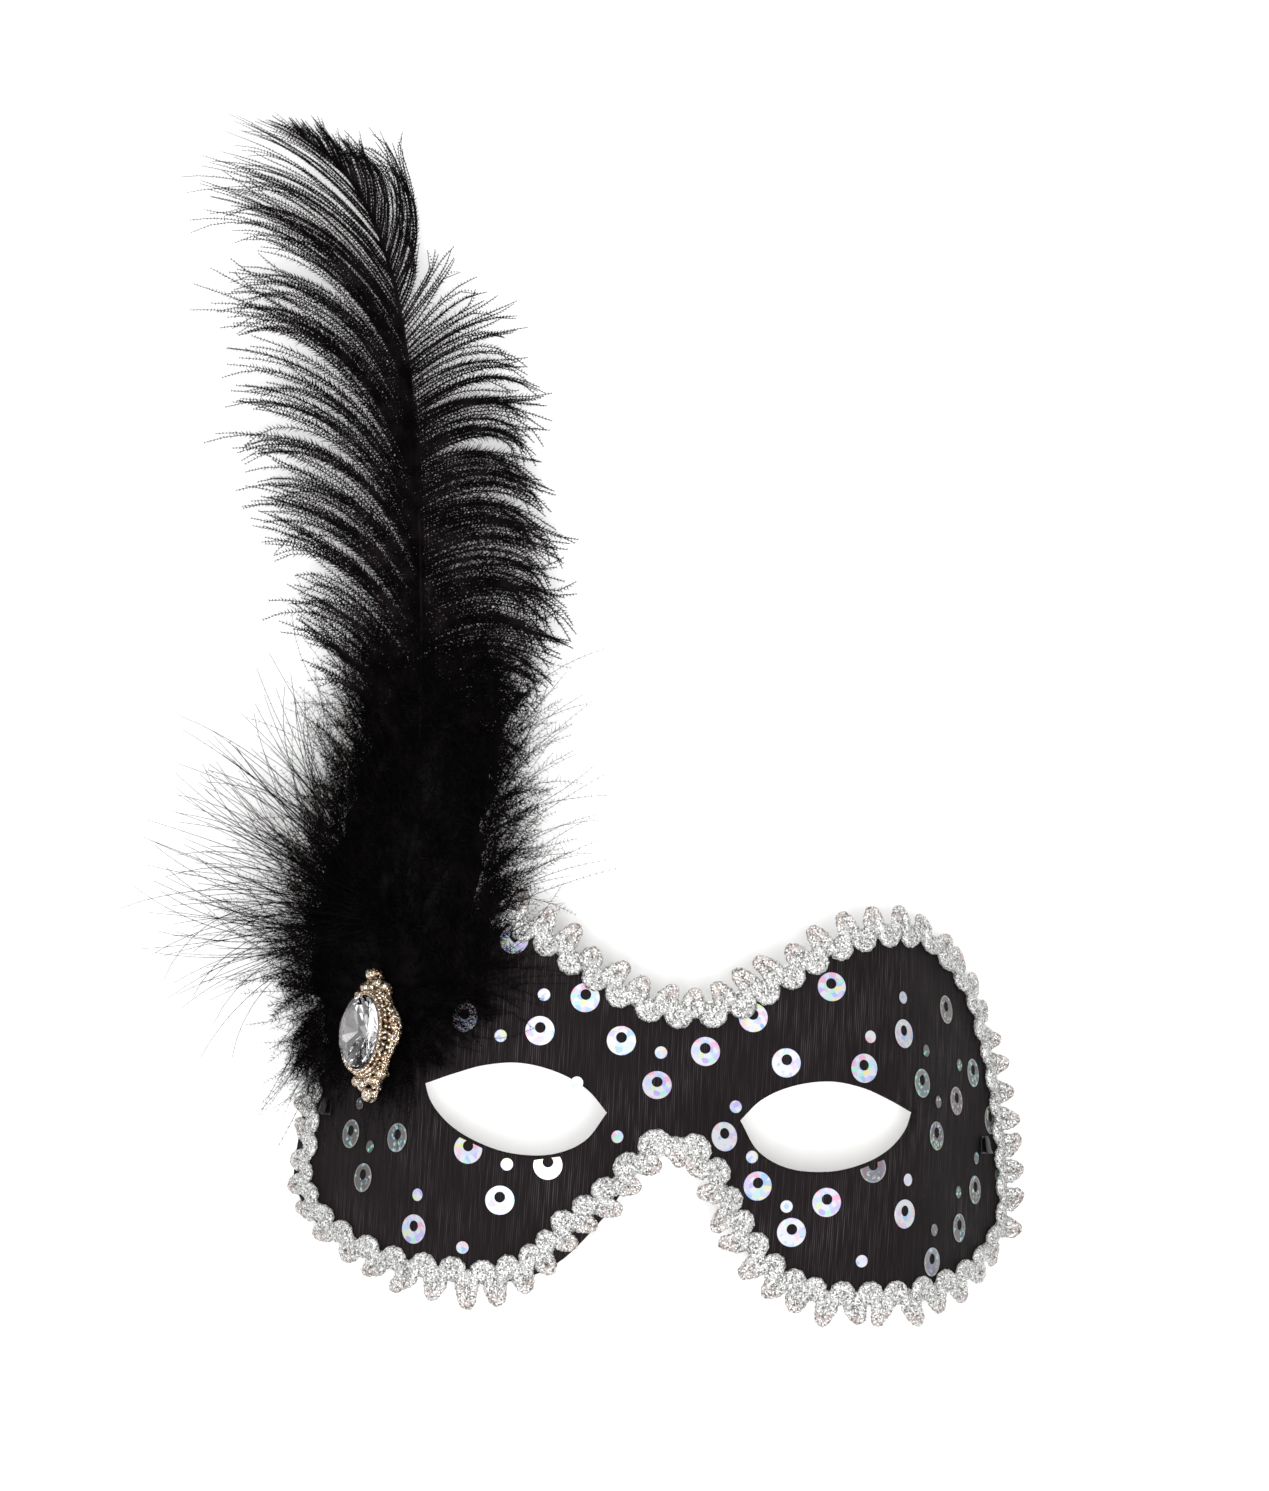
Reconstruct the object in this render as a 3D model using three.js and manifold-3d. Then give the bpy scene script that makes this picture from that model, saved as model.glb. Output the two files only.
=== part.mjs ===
// Venetian half mask with a plume, lying face up. Millimetres, +Z up, +Y towards the plume.
// X runs across the face, the plume and the brooch are on the -X temple.
import * as THREE from 'three';
import { mergeVertices } from 'three/addons/utils/BufferGeometryUtils.js';
import Module from 'manifold-3d';

const wasm = await Module();
wasm.setup();

// Moulded shell
const BROW_HEIGHT = 53;
const TEMPLE_SLOPE = Math.tan(THREE.MathUtils.degToRad(60));
const TURN_START = 56;
const TURN_SOFTNESS = 6.8;
const TURN_LEAN = 0.13;
const PROFILE_RADIUS = 260;
const NOSE_HEIGHT = 10;
const NOSE_WIDTH = 9.5;
const NOSE_START = 2;
const NOSE_FADE = 5;
const SHELL_WALL = 1.4;

// Fabric glued on the front
const COVER_GAP = 0.3;
const COVER_THICKNESS = 0.5;
const COVER_INSET = 0.7;
const COVER_TOP = COVER_GAP + COVER_THICKNESS;

// Braid along the whole edge
const BRAID_PITCH = 6.9;
const BRAID_PEAK = 6.8;
const BRAID_VALLEY = 5.4;
const BRAID_CLEARANCE = 0.45;
const BRAID_THICKNESS = 1.7;
const PICOT_LENGTH = 4.4;
const PICOT_THICKNESS = 1.1;
const PICOT_SHARE = 0.45;
const PICOT_TIP = 0.55;
const FLOOR_CLEARANCE = 0.4;

// Sequins
const SEQUIN_RADIUS = 3.5;
const SEQUIN_HOLE_RADIUS = 1.3;
const SEQUIN_HOLE_OFFSET = 0.75;
const SEQUIN_THICKNESS = 0.35;
const SEQUIN_CLEARANCE = 0.35;

// Brooch on the left temple
const BROOCH_PLACE = [-66.6, 14.7];
const BROOCH_LIFT = 5.2;
const BROOCH_TURN = THREE.MathUtils.degToRad(14);
const BROOCH_HALF_HEIGHT = 17;
const BROOCH_HALF_WIDTH = 10.8;
const BROOCH_PLATE = 1.8;
const RING_RADII = [8.8, 11.3];
const BEZEL_RADII = [7.9, 10.1];
const BEZEL_HEIGHT = 5.4;
const STONE_RADII = [6.9, 8.9];
const STONE_PAVILION = 3.1;
const STONE_GIRDLE = 1.2;
const STONE_CROWN = 2.3;
const GRANULE_RADIUS = 1.4;
const GRANULES = 12;

// Plume
const QUILL_RADIUS = 1.2;
const QUILL_TIP_RADIUS = 0.4;
const BARB_PAIRS = 22;
const BARB_FILL = 1.15;
const BARB_BEND = 1.5;
const BARB_DEPTH = 0.9;
const PLUME_FLOOR = 4;
const BARB_STEPS = 4;
const BARB_SPAN = [0.2, 0.985];

// How the barbs run from the foot to the tip of each vane: headings from +Y outwards where they leave the
// quill and where they end, and lengths, each as [place, size]
const LEFT_VANE = {
  leave: [[0, 36], [0.1, 32], [0.25, 21], [0.5, 24], [0.77, 40], [1, 58]],
  end: [[0, 92], [0.07, 97], [0.14, 118], [0.27, 104], [0.5, 84], [0.77, 84], [1, 66]],
  length: [[0, 44], [0.07, 55], [0.14, 63], [0.27, 69], [0.5, 70], [0.65, 62], [0.77, 47], [0.9, 24], [1, 9]],
};
const RIGHT_VANE = {
  leave: [[0, 40], [0.3, 38], [0.57, 44], [0.65, 42], [0.71, 25], [0.79, 12], [0.88, -12], [1, -45]],
  end: [[0, 120], [0.3, 140], [0.57, 122], [0.63, 78], [0.67, 15], [0.71, -58], [0.8, -55], [1, -54]],
  length: [[0, 34], [0.4, 36], [0.58, 34], [0.65, 24], [0.69, 22], [0.72, 38], [0.79, 32], [0.88, 17], [1, 7]],
};

// Down around the foot of the plume
const DOWN_TUFTS = 22;
const DOWN_STEPS = 4;
const DOWN_TUFT_WIDTH = 10.5;
const DOWN_TUFT_DEPTH = 1.6;
const DOWN_FLOOR = 5;
const DOWN_CLEARANCE = 1.3;
const DOWN_DRAPE = 0.6;
const DOWN_FAN = [160, 30];
const DOWN_REACH_LEFT = 41;
const DOWN_REACH_RIGHT = [38, 31];
const DOWN_BROOCH_ROOM = 0.5;
const DOWN_BROOCH_DEPTH = 16;

// Mesh fineness
const RIM_STEPS = 32;
const MIDLINE_STEPS = 5;
const RINGS = 3;
const TEMPLE_FLAT_HALF = 19;
const SEQUIN_SIDES = 9;
const SEQUIN_HOLE_SIDES = 5;

// Right half of the outline, from the dip over the nose to the nose arch
const TOP_OUTLINE = [[0, 27.9], [9, 29.3], [22.5, 36.8], [36.5, 45.5], [48, 49.6], [59, 49.3], [69, 43], [77.8, 33.2]];
const LOWER_OUTLINE = [[86.6, -26], [79.5, -34], [66, -39.8], [50, -41.8], [35.6, -41.3], [24.8, -36.2],
  [15.0, -25.0], [7.2, -12.5], [0, -7.3]];

// Right eye hole: two arcs that meet at the corners
const EYE_CENTRE = [37.5, 0.5];
const EYE_UPPER = [[15.6, 0.7], [20.5, 6], [28, 9.9], [37.4, 11.7], [46, 10.6], [54, 7.8], [60.4, 5]];
const EYE_LOWER = [[60.4, 5], [59, 1], [54.8, -3.9], [48, -8], [38.5, -10.8], [28, -10.4], [20.5, -6.6], [15.6, 0.7]];

// Whole sequins, clear of the braid and the eye holes
const SEQUIN_PLACES = [
  [-33, 19.1], [-13.5, 17.9], [-50.5, 21.1], [-64.4, -8.7], [-75.1, -8.9], [-71.7, -19.1], [-40, -21.6],
  [-4.5, 7.7], [6.7, 16.5], [26.3, 15], [36.4, 33.8], [45.3, 14.8], [55.3, 23.6], [67.9, 30.1], [61, 11.9],
  [71.7, 7.9], [65.8, -0.7], [11.8, -3.4], [20.9, -14.6], [30, -25.2], [38, -17.6], [57.6, -19.6], [73.9, -23],
  [78.6, -13.8], [77, 14.9],
];

const UP = new THREE.Vector3(0, 0, 1);

function templeTurn(y) {
  return TURN_START - TURN_LEAN * y;
}

function faceHeight(x, y) {
  const turn = TEMPLE_SLOPE * TURN_SOFTNESS * Math.log1p(Math.exp((Math.abs(x) - templeTurn(y)) / TURN_SOFTNESS));
  const profile = (y * y) / (2 * PROFILE_RADIUS);
  const nose = (NOSE_HEIGHT * Math.exp(-((x / NOSE_WIDTH) ** 2) / 2)) / (1 + Math.exp((y - NOSE_START) / NOSE_FADE));
  return BROW_HEIGHT - turn - profile + nose;
}

function faceNormal(x, y) {
  const h = 0.01;
  const slopeX = (faceHeight(x + h, y) - faceHeight(x - h, y)) / (2 * h);
  const slopeY = (faceHeight(x, y + h) - faceHeight(x, y - h)) / (2 * h);
  return new THREE.Vector3(-slopeX, -slopeY, 1).normalize();
}

function facePoint(x, y, offset) {
  return new THREE.Vector3(x, y, faceHeight(x, y)).addScaledVector(faceNormal(x, y), offset);
}

// Distance from the middle at which the face comes down to the rest plane
function templeEdge(y) {
  const drop = (BROW_HEIGHT - (y * y) / (2 * PROFILE_RADIUS)) / (TEMPLE_SLOPE * TURN_SOFTNESS);
  return templeTurn(y) + TURN_SOFTNESS * Math.log(Math.exp(drop) - 1);
}

function makeOutline() {
  const temple = [1, 0, -1].map((side) => [templeEdge(side * TEMPLE_FLAT_HALF), side * TEMPLE_FLAT_HALF]);
  const right = [...TOP_OUTLINE, ...temple, ...LOWER_OUTLINE];
  const left = right.slice(1, -1).reverse().map(([x, y]) => [-x, y]);
  const points = [...right, ...left].map(([x, y]) => new THREE.Vector3(x, y, 0));
  const curve = new THREE.CatmullRomCurve3(points, true, 'centripetal');
  curve.arcLengthDivisions = 2000;
  return curve;
}

const OUTLINE = makeOutline();

function outlinePoint(u) {
  const p = OUTLINE.getPointAt(((u % 1) + 1) % 1);
  if (Math.abs(p.y) < TEMPLE_FLAT_HALF && Math.abs(p.x) > TURN_START) p.x = Math.sign(p.x) * templeEdge(p.y);
  return p;
}

function outlineInward(u) {
  const t = OUTLINE.getTangentAt(((u % 1) + 1) % 1);
  return new THREE.Vector2(t.y, -t.x).normalize();
}

// Walks over the face from the outline, by a distance measured on the surface
function walkInward(u, distance) {
  const p = outlinePoint(u);
  const dir = outlineInward(u);
  const steps = 12;
  let { x, y } = p;
  for (let i = 0; i < steps; i += 1) {
    const n = faceNormal(x, y);
    const rise = -(n.x * dir.x + n.y * dir.y) / n.z;
    const stride = distance / steps / Math.hypot(1, rise);
    x += dir.x * stride;
    y += dir.y * stride;
  }
  return [x, y];
}

function splinePoints(points, count) {
  const curve = new THREE.CatmullRomCurve3(points.map(([x, y]) => new THREE.Vector3(x, y, 0)), false, 'centripetal');
  return curve.getSpacedPoints(count);
}

const EYE_LOOP = [...splinePoints(EYE_UPPER, 60), ...splinePoints(EYE_LOWER, 60)];

function angleFromEye(p) {
  return Math.atan2(p.y - EYE_CENTRE[1], p.x - EYE_CENTRE[0]);
}

// Point of the eye hole's edge in a given direction from the eye's centre
function eyeEdge(direction) {
  for (let i = 0; i < EYE_LOOP.length; i += 1) {
    const a = EYE_LOOP[i];
    const b = EYE_LOOP[(i + 1) % EYE_LOOP.length];
    const ax = a.x - EYE_CENTRE[0];
    const ay = a.y - EYE_CENTRE[1];
    const ex = b.x - a.x;
    const ey = b.y - a.y;
    const cross = direction.x * ey - direction.y * ex;
    if (Math.abs(cross) > 1e-9) {
      const along = (ax * ey - ay * ex) / cross;
      const share = (ax * direction.y - ay * direction.x) / cross;
      if (along > 0 && share >= 0 && share <= 1) return [EYE_CENTRE[0] + direction.x * along, EYE_CENTRE[1] + direction.y * along];
    }
  }
  return EYE_CENTRE;
}

// Columns from the eye hole out to the edge and the midline, for the right half
function halfColumns(inset) {
  const columns = [];
  for (let i = 0; i <= RIM_STEPS; i += 1) {
    const u = (0.5 * i) / RIM_STEPS;
    const onMidline = i === 0 || i === RIM_STEPS;
    const [x, y] = inset !== 0 ? walkInward(u, inset) : outlinePoint(u).toArray();
    columns.push({ outer: [onMidline ? 0 : x, y], rim: i < RIM_STEPS });
  }
  const top = columns[0].outer[1];
  const bottom = columns[RIM_STEPS].outer[1];
  for (let i = 1; i < MIDLINE_STEPS; i += 1) {
    columns.push({ outer: [0, THREE.MathUtils.lerp(bottom, top, i / MIDLINE_STEPS)], rim: false });
  }
  for (const column of columns) {
    const direction = new THREE.Vector2(column.outer[0] - EYE_CENTRE[0], column.outer[1] - EYE_CENTRE[1]).normalize();
    column.inner = eyeEdge(direction);
  }
  for (const corner of [EYE_UPPER[0], EYE_LOWER[0]]) {
    const target = angleFromEye({ x: corner[0], y: corner[1] });
    const away = (c) => Math.abs(angleFromEye({ x: c.outer[0], y: c.outer[1] }) - target) % (2 * Math.PI);
    const nearest = columns.reduce((best, c) => (Math.min(away(c), 2 * Math.PI - away(c))
      < Math.min(away(best), 2 * Math.PI - away(best)) ? c : best));
    nearest.inner = corner;
  }
  return columns;
}

// Keeps a point of the wall above the rest plane by sliding it up the temple's slope
function aboveRest(p, floor) {
  if (p.z >= floor) return p;
  return new THREE.Vector3(p.x - (Math.sign(p.x) * (floor - p.z)) / TEMPLE_SLOPE, p.y, floor);
}

function geometryFrom(vertices, triangles) {
  const geometry = new THREE.BufferGeometry();
  geometry.setAttribute('position', new THREE.Float32BufferAttribute(vertices.flatMap((v) => [v.x, v.y, v.z]), 3));
  geometry.setIndex(triangles.flat());
  return mergeVertices(geometry, 1e-4);
}

// A curved sheet over the whole face between two offsets from its surface, open at the eyes
function faceLayer(low, high, inset, floor) {
  const columns = halfColumns(inset);
  const count = columns.length;
  const vertices = [];
  const triangles = [];
  for (const side of [1, -1]) {
    const base = vertices.length;
    const at = (i, j, top) => base + 2 * ((i % count) * (RINGS + 1) + j) + (top ? 1 : 0);
    for (const column of columns) {
      for (let j = 0; j <= RINGS; j += 1) {
        const x = side * THREE.MathUtils.lerp(column.inner[0], column.outer[0], j / RINGS);
        const y = THREE.MathUtils.lerp(column.inner[1], column.outer[1], j / RINGS);
        vertices.push(aboveRest(facePoint(x, y, low), floor), aboveRest(facePoint(x, y, high), floor));
      }
    }
    const quad = (a, b, c, d) => {
      if (side > 0) triangles.push([a, b, c], [a, c, d]);
      else triangles.push([a, c, b], [a, d, c]);
    };
    for (let i = 0; i < count; i += 1) {
      for (let j = 0; j < RINGS; j += 1) {
        quad(at(i, j, true), at(i + 1, j, true), at(i + 1, j + 1, true), at(i, j + 1, true));
        quad(at(i, j, false), at(i, j + 1, false), at(i + 1, j + 1, false), at(i + 1, j, false));
      }
      quad(at(i, 0, false), at(i + 1, 0, false), at(i + 1, 0, true), at(i, 0, true));
      if (columns[i].rim) quad(at(i, RINGS, true), at(i + 1, RINGS, true), at(i + 1, RINGS, false), at(i, RINGS, false));
    }
  }
  return geometryFrom(vertices, triangles);
}

// Scalloped band with a picot at each scallop, following the outline
function braidRing() {
  const scallops = Math.round(OUTLINE.getLength() / BRAID_PITCH);
  const bottom = COVER_TOP + BRAID_CLEARANCE;
  const vertices = [];
  const triangles = [];
  const columns = [];
  const add = (p) => {
    p.z = Math.max(p.z, FLOOR_CLEARANCE);
    vertices.push(p);
    return vertices.length - 1;
  };
  for (let i = 0; i < scallops; i += 1) {
    for (const [phase, depth] of [[0, BRAID_PEAK], [PICOT_SHARE, BRAID_VALLEY]]) {
      const u = (i + phase) / scallops;
      const inner = walkInward(u, depth);
      const outer = outlinePoint(u);
      const outward = outlineInward(u).negate();
      const low = add(facePoint(outer.x, outer.y, bottom));
      const high = add(facePoint(outer.x, outer.y, bottom + BRAID_THICKNESS));
      columns.push({
        low,
        high,
        outward,
        innerLow: add(facePoint(...inner, bottom)),
        innerHigh: add(facePoint(...inner, bottom + BRAID_THICKNESS)),
        picot: phase === 0,
      });
    }
  }
  const quad = (a, b, c, d) => triangles.push([a, b, c], [a, c, d]);
  columns.forEach((a, i) => {
    const b = columns[(i + 1) % columns.length];
    quad(a.innerHigh, b.innerHigh, b.high, a.high);
    quad(a.innerLow, b.innerLow, b.innerHigh, a.innerHigh);
    quad(a.low, b.low, b.innerLow, a.innerLow);
    if (!a.picot) {
      quad(a.high, b.high, b.low, a.low);
      return;
    }
    const middle = vertices[a.high].clone().add(vertices[b.high]).multiplyScalar(0.5);
    const outward = a.outward.clone().add(b.outward).normalize();
    const normal = faceNormal(vertices[a.high].x, vertices[a.high].y);
    const slope = Math.atan2(normal.x * outward.x + normal.y * outward.y, normal.z);
    const room = (vertices[a.low].z - FLOOR_CLEARANCE) / PICOT_LENGTH;
    const fall = Math.min(Math.sin(slope), Math.max(room, 0));
    const reach = Math.sqrt(1 - fall * fall);
    const tip = (from) => {
      const p = vertices[from].clone().lerp(middle, 1 - PICOT_TIP);
      p.x += outward.x * PICOT_LENGTH * reach;
      p.y += outward.y * PICOT_LENGTH * reach;
      p.z = middle.z - PICOT_LENGTH * fall;
      return p;
    };
    const tipHighA = add(tip(a.high));
    const tipHighB = add(tip(b.high));
    const tipLowA = vertices.length;
    vertices.push(vertices[tipHighA].clone(), vertices[tipHighB].clone());
    const tipLowB = tipLowA + 1;
    for (const [high, low] of [[tipHighA, tipLowA], [tipHighB, tipLowB]]) {
      vertices[high].z = Math.max(vertices[high].z, FLOOR_CLEARANCE + PICOT_THICKNESS);
      vertices[low].z = vertices[high].z - PICOT_THICKNESS;
    }
    quad(a.high, b.high, tipHighB, tipHighA);
    quad(tipHighA, tipHighB, tipLowB, tipLowA);
    quad(tipLowA, tipLowB, b.low, a.low);
    triangles.push([a.high, tipHighA, tipLowA], [a.high, tipLowA, a.low]);
    triangles.push([b.high, tipLowB, tipHighB], [b.high, b.low, tipLowB]);
  });
  return geometryFrom(vertices, triangles);
}

function placeOnFace(mesh, x, y, lift) {
  const normal = faceNormal(x, y);
  mesh.position.copy(facePoint(x, y, lift));
  const side = new THREE.Vector3(0, 1, 0).cross(normal).normalize();
  const along = normal.clone().cross(side);
  mesh.quaternion.setFromRotationMatrix(new THREE.Matrix4().makeBasis(side, along, normal));
}

function placeInBrooch(mesh, height) {
  placeOnFace(mesh, ...BROOCH_PLACE, BROOCH_LIFT + height);
  mesh.rotateZ(BROOCH_TURN);
}

// Lift that keeps a flat disc clear of the cover all round its rim
function discLift(x, y, radius) {
  const normal = faceNormal(x, y);
  const centre = facePoint(x, y, 0);
  const side = new THREE.Vector3(0, 1, 0).cross(normal).normalize();
  const along = normal.clone().cross(side);
  let least = 0;
  for (let i = 0; i < 12; i += 1) {
    const angle = (i / 12) * 2 * Math.PI;
    const p = centre.clone().addScaledVector(side, radius * Math.cos(angle));
    p.addScaledVector(along, radius * Math.sin(angle));
    least = Math.min(least, (p.z - faceHeight(p.x, p.y)) * faceNormal(p.x, p.y).z);
  }
  return COVER_TOP + SEQUIN_CLEARANCE - least;
}

function regularPolygon(sides, radius, offset) {
  return Array.from({ length: sides }, (_, i) => {
    const angle = ((i + 0.5) / sides) * 2 * Math.PI;
    return new THREE.Vector2(radius * Math.cos(angle), offset + radius * Math.sin(angle));
  });
}

function sequinGeometry() {
  const shape = new THREE.Shape(regularPolygon(SEQUIN_SIDES, SEQUIN_RADIUS, 0));
  shape.holes.push(new THREE.Path(regularPolygon(SEQUIN_HOLE_SIDES, SEQUIN_HOLE_RADIUS, SEQUIN_HOLE_OFFSET)));
  return new THREE.ExtrudeGeometry(shape, { depth: SEQUIN_THICKNESS, bevelEnabled: false });
}

function toManifold(geometry) {
  const bare = geometry.clone();
  bare.deleteAttribute('normal');
  bare.deleteAttribute('uv');
  const merged = mergeVertices(bare, 1e-4);
  const vertProperties = new Float32Array(merged.attributes.position.array);
  const triVerts = new Uint32Array(merged.index.array);
  return new wasm.Manifold(new wasm.Mesh({ numProp: 3, vertProperties, triVerts }));
}

function fromManifold(body) {
  const mesh = body.getMesh();
  const geometry = new THREE.BufferGeometry();
  geometry.setAttribute('position', new THREE.Float32BufferAttribute(mesh.vertProperties, 3));
  geometry.setIndex(new THREE.Uint32BufferAttribute(mesh.triVerts, 1));
  return geometry;
}

function largestBody(body) {
  return body.decompose().reduce((best, piece) => (piece.volume() > best.volume() ? piece : best));
}

// Outline radius of the setting: an oval ring with a trefoil above and below and a lobe at each side
function settingRadius(angle) {
  const oval = 1 / Math.hypot(Math.cos(angle) / RING_RADII[0], Math.sin(angle) / RING_RADII[1]);
  const across = Math.abs(Math.cos(angle));
  const upright = Math.abs(Math.sin(angle));
  const sideLobe = (BROOCH_HALF_WIDTH - RING_RADII[0]) * across ** 9;
  const trefoil = (BROOCH_HALF_HEIGHT - RING_RADII[1]) * upright ** 28;
  const shoulder = 2.2 * Math.exp(-(((upright - 0.88) / 0.045) ** 2));
  return oval + sideLobe + trefoil + shoulder;
}

function settingPlate(extra, depth) {
  const corners = 36;
  const outline = [];
  for (let i = 0; i < corners; i += 1) {
    const angle = ((i + 0.5) / corners) * 2 * Math.PI;
    const r = settingRadius(angle) + extra;
    outline.push(new THREE.Vector2(r * Math.cos(angle), r * Math.sin(angle)));
  }
  return new THREE.ExtrudeGeometry(new THREE.Shape(outline), { depth, bevelEnabled: false });
}

function broochSetting() {
  const ring = new THREE.Shape();
  ring.absellipse(0, 0, BEZEL_RADII[0], BEZEL_RADII[1], 0, 2 * Math.PI, false, 0);
  const seat = new THREE.Path();
  seat.absellipse(0, 0, STONE_RADII[0] + COVER_GAP, STONE_RADII[1] + COVER_GAP, 0, 2 * Math.PI, true, 0);
  ring.holes.push(seat);
  const bezel = new THREE.ExtrudeGeometry(ring, { depth: BEZEL_HEIGHT - 0.4, bevelEnabled: false, curveSegments: 10 });
  bezel.translate(0, 0, 0.4);
  let body = toManifold(settingPlate(0, BROOCH_PLATE)).add(toManifold(bezel));
  for (let i = 0; i < GRANULES; i += 1) {
    const angle = ((i + 0.5) / GRANULES) * 2 * Math.PI;
    const r = settingRadius(angle) - GRANULE_RADIUS;
    const bead = new THREE.IcosahedronGeometry(GRANULE_RADIUS, 0);
    bead.translate(r * Math.cos(angle), r * Math.sin(angle), BROOCH_PLATE);
    body = body.add(toManifold(bead));
  }
  return fromManifold(body);
}

// Oval stone: pavilion below the girdle, crown with a flat table above
function broochStone() {
  const facets = 12;
  const girdleTop = STONE_PAVILION + STONE_GIRDLE;
  const table = girdleTop + STONE_CROWN;
  const profile = [[0, 0], [0.55, 0], [1, STONE_PAVILION], [1, girdleTop], [0.62, table], [0, table]];
  const stone = new THREE.LatheGeometry(profile.map(([r, z]) => new THREE.Vector2(r, z)), facets);
  stone.rotateX(Math.PI / 2);
  stone.scale(STONE_RADII[0], STONE_RADII[1], 1);
  return fromManifold(toManifold(stone));
}

// Small repeatable random numbers
function seededRandom(seed) {
  let state = seed;
  return () => {
    state = (state * 1664525 + 1013904223) % 4294967296;
    return state / 4294967296;
  };
}

// A closed tapered tube with an oval section that is wide across the feather
function taperedTube(path, radii, across, sides) {
  const vertices = [];
  const triangles = [];
  path.forEach((p, i) => {
    const ahead = path[Math.min(i + 1, path.length - 1)];
    const behind = path[Math.max(i - 1, 0)];
    const tangent = ahead.clone().sub(behind).normalize();
    const wide = tangent.clone().cross(across(p)).normalize();
    const thick = wide.clone().cross(tangent).normalize();
    for (let k = 0; k < sides; k += 1) {
      const angle = (k / sides) * 2 * Math.PI;
      const v = p.clone().addScaledVector(wide, radii[i][0] * Math.cos(angle));
      vertices.push(v.addScaledVector(thick, radii[i][1] * Math.sin(angle)));
    }
  });
  const rows = path.length;
  for (let i = 0; i < rows - 1; i += 1) {
    for (let k = 0; k < sides; k += 1) {
      const a = i * sides + k;
      const b = i * sides + ((k + 1) % sides);
      triangles.push([a, b + sides, b], [a, a + sides, b + sides]);
    }
  }
  for (let k = 1; k < sides - 1; k += 1) {
    const last = (rows - 1) * sides;
    triangles.push([0, k, k + 1], [last, last + k + 1, last + k]);
  }
  return geometryFrom(vertices, triangles);
}

// The plume's spine, from under the brooch to the tip that curls outwards
const QUILL = new THREE.CatmullRomCurve3([
  [-71.6, 9, 28], [-70, 24, 26.6], [-67.8, 41, 30.6], [-65.7, 61, 36], [-66, 97, 40], [-68.2, 130, 41], [-70.1, 149, 40],
  [-72.6, 170, 37], [-76, 188, 33.5], [-79.3, 201, 30], [-84, 213, 27], [-88.7, 221.5, 24], [-95.5, 229.5, 20.5],
  [-103.2, 235.4, 16],
].map((p) => new THREE.Vector3(...p)));

function quillTube(extra) {
  const steps = 16;
  const path = QUILL.getSpacedPoints(steps);
  const radii = path.map((_, i) => {
    const r = THREE.MathUtils.lerp(QUILL_RADIUS, QUILL_TIP_RADIUS, i / steps) + extra;
    return [r, r];
  });
  return taperedTube(path, radii, () => UP, 5);
}

// Size at a place between the keyed places
function keyed(keys, place) {
  const next = Math.max(keys.findIndex(([at]) => at >= place), 1);
  const [lowAt, low] = keys[next - 1];
  const [highAt, high] = keys[next];
  return THREE.MathUtils.mapLinear(place, lowAt, highAt, low, high);
}

// One barb: it leaves the quill at a narrow angle and bows away from it, drooping at its end
function barbPath(root, side, headings, length, droop) {
  const path = [root.clone()];
  const p = root.clone();
  const stride = length / BARB_STEPS;
  for (const heading of headings.slice(1)) {
    const t = (path.length - 0.5) / BARB_STEPS;
    p.x += side * Math.sin(heading) * stride;
    p.y += Math.cos(heading) * stride;
    p.z = Math.max(p.z + droop * (0.35 - t) * stride, PLUME_FLOOR);
    path.push(p.clone());
  }
  return path;
}

function plume(extra) {
  const random = seededRandom(7);
  const gap = (QUILL.getLength() * (BARB_SPAN[1] - BARB_SPAN[0])) / (BARB_PAIRS - 1);
  let body = toManifold(quillTube(extra));
  for (let i = 0; i < BARB_PAIRS; i += 1) {
    const v = i / (BARB_PAIRS - 1);
    const root = QUILL.getPointAt(THREE.MathUtils.lerp(...BARB_SPAN, v));
    for (const [side, vane] of [[-1, LEFT_VANE], [1, RIGHT_VANE]]) {
      const length = keyed(vane.length, v) * (0.92 + 0.16 * random());
      const leave = keyed(vane.leave, v);
      const turn = keyed(vane.end, v) - leave;
      const headings = Array.from({ length: BARB_STEPS + 1 }, (_, k) => {
        const t = Math.max(k - 0.5, 0) / BARB_STEPS;
        return THREE.MathUtils.degToRad(leave + turn * t ** BARB_BEND);
      });
      const path = barbPath(root, side, headings, length, 0.3 + 0.4 * random());
      const radii = headings.map((heading, k) => {
        const t = k / BARB_STEPS;
        const width = gap * BARB_FILL * Math.abs(Math.sin(heading)) * (1 - 0.86 * t ** 2.5);
        return [Math.max(width, 0.5) * 0.5 + extra, BARB_DEPTH * (1 - 0.6 * t) * 0.5 + extra];
      });
      body = body.add(toManifold(taperedTube(path, radii, () => UP, 3)));
    }
  }
  return body;
}

// Height at which the down lies on the trim instead of passing through it
function drapeHeight(x, y) {
  const lift = COVER_TOP + BRAID_CLEARANCE + BRAID_THICKNESS + DOWN_CLEARANCE + DOWN_DRAPE;
  return faceHeight(x, y) + lift / faceNormal(x, y).z;
}

// One tuft: it leaves the spine in a direction measured from +Y and drapes over the face
function downTuft(root, side, fan, length, climb) {
  const path = [];
  for (let k = 0; k <= DOWN_STEPS; k += 1) {
    const reach = (length * k) / DOWN_STEPS;
    const x = root.x + side * Math.sin(fan) * reach;
    const y = root.y + Math.cos(fan) * reach;
    const z = root.z + (climb * reach * k) / DOWN_STEPS;
    path.push(new THREE.Vector3(x, y, Math.max(z, drapeHeight(x, y), DOWN_FLOOR)));
  }
  const radii = path.map((_, k) => {
    const swell = Math.sin(Math.PI * (0.2 + 0.78 * (k / DOWN_STEPS)));
    return [(DOWN_TUFT_WIDTH / 2) * swell + 0.2, (DOWN_TUFT_DEPTH / 2) * swell + 0.15];
  });
  return taperedTube(path, radii, (p) => faceNormal(p.x, p.y), 4);
}

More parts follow.
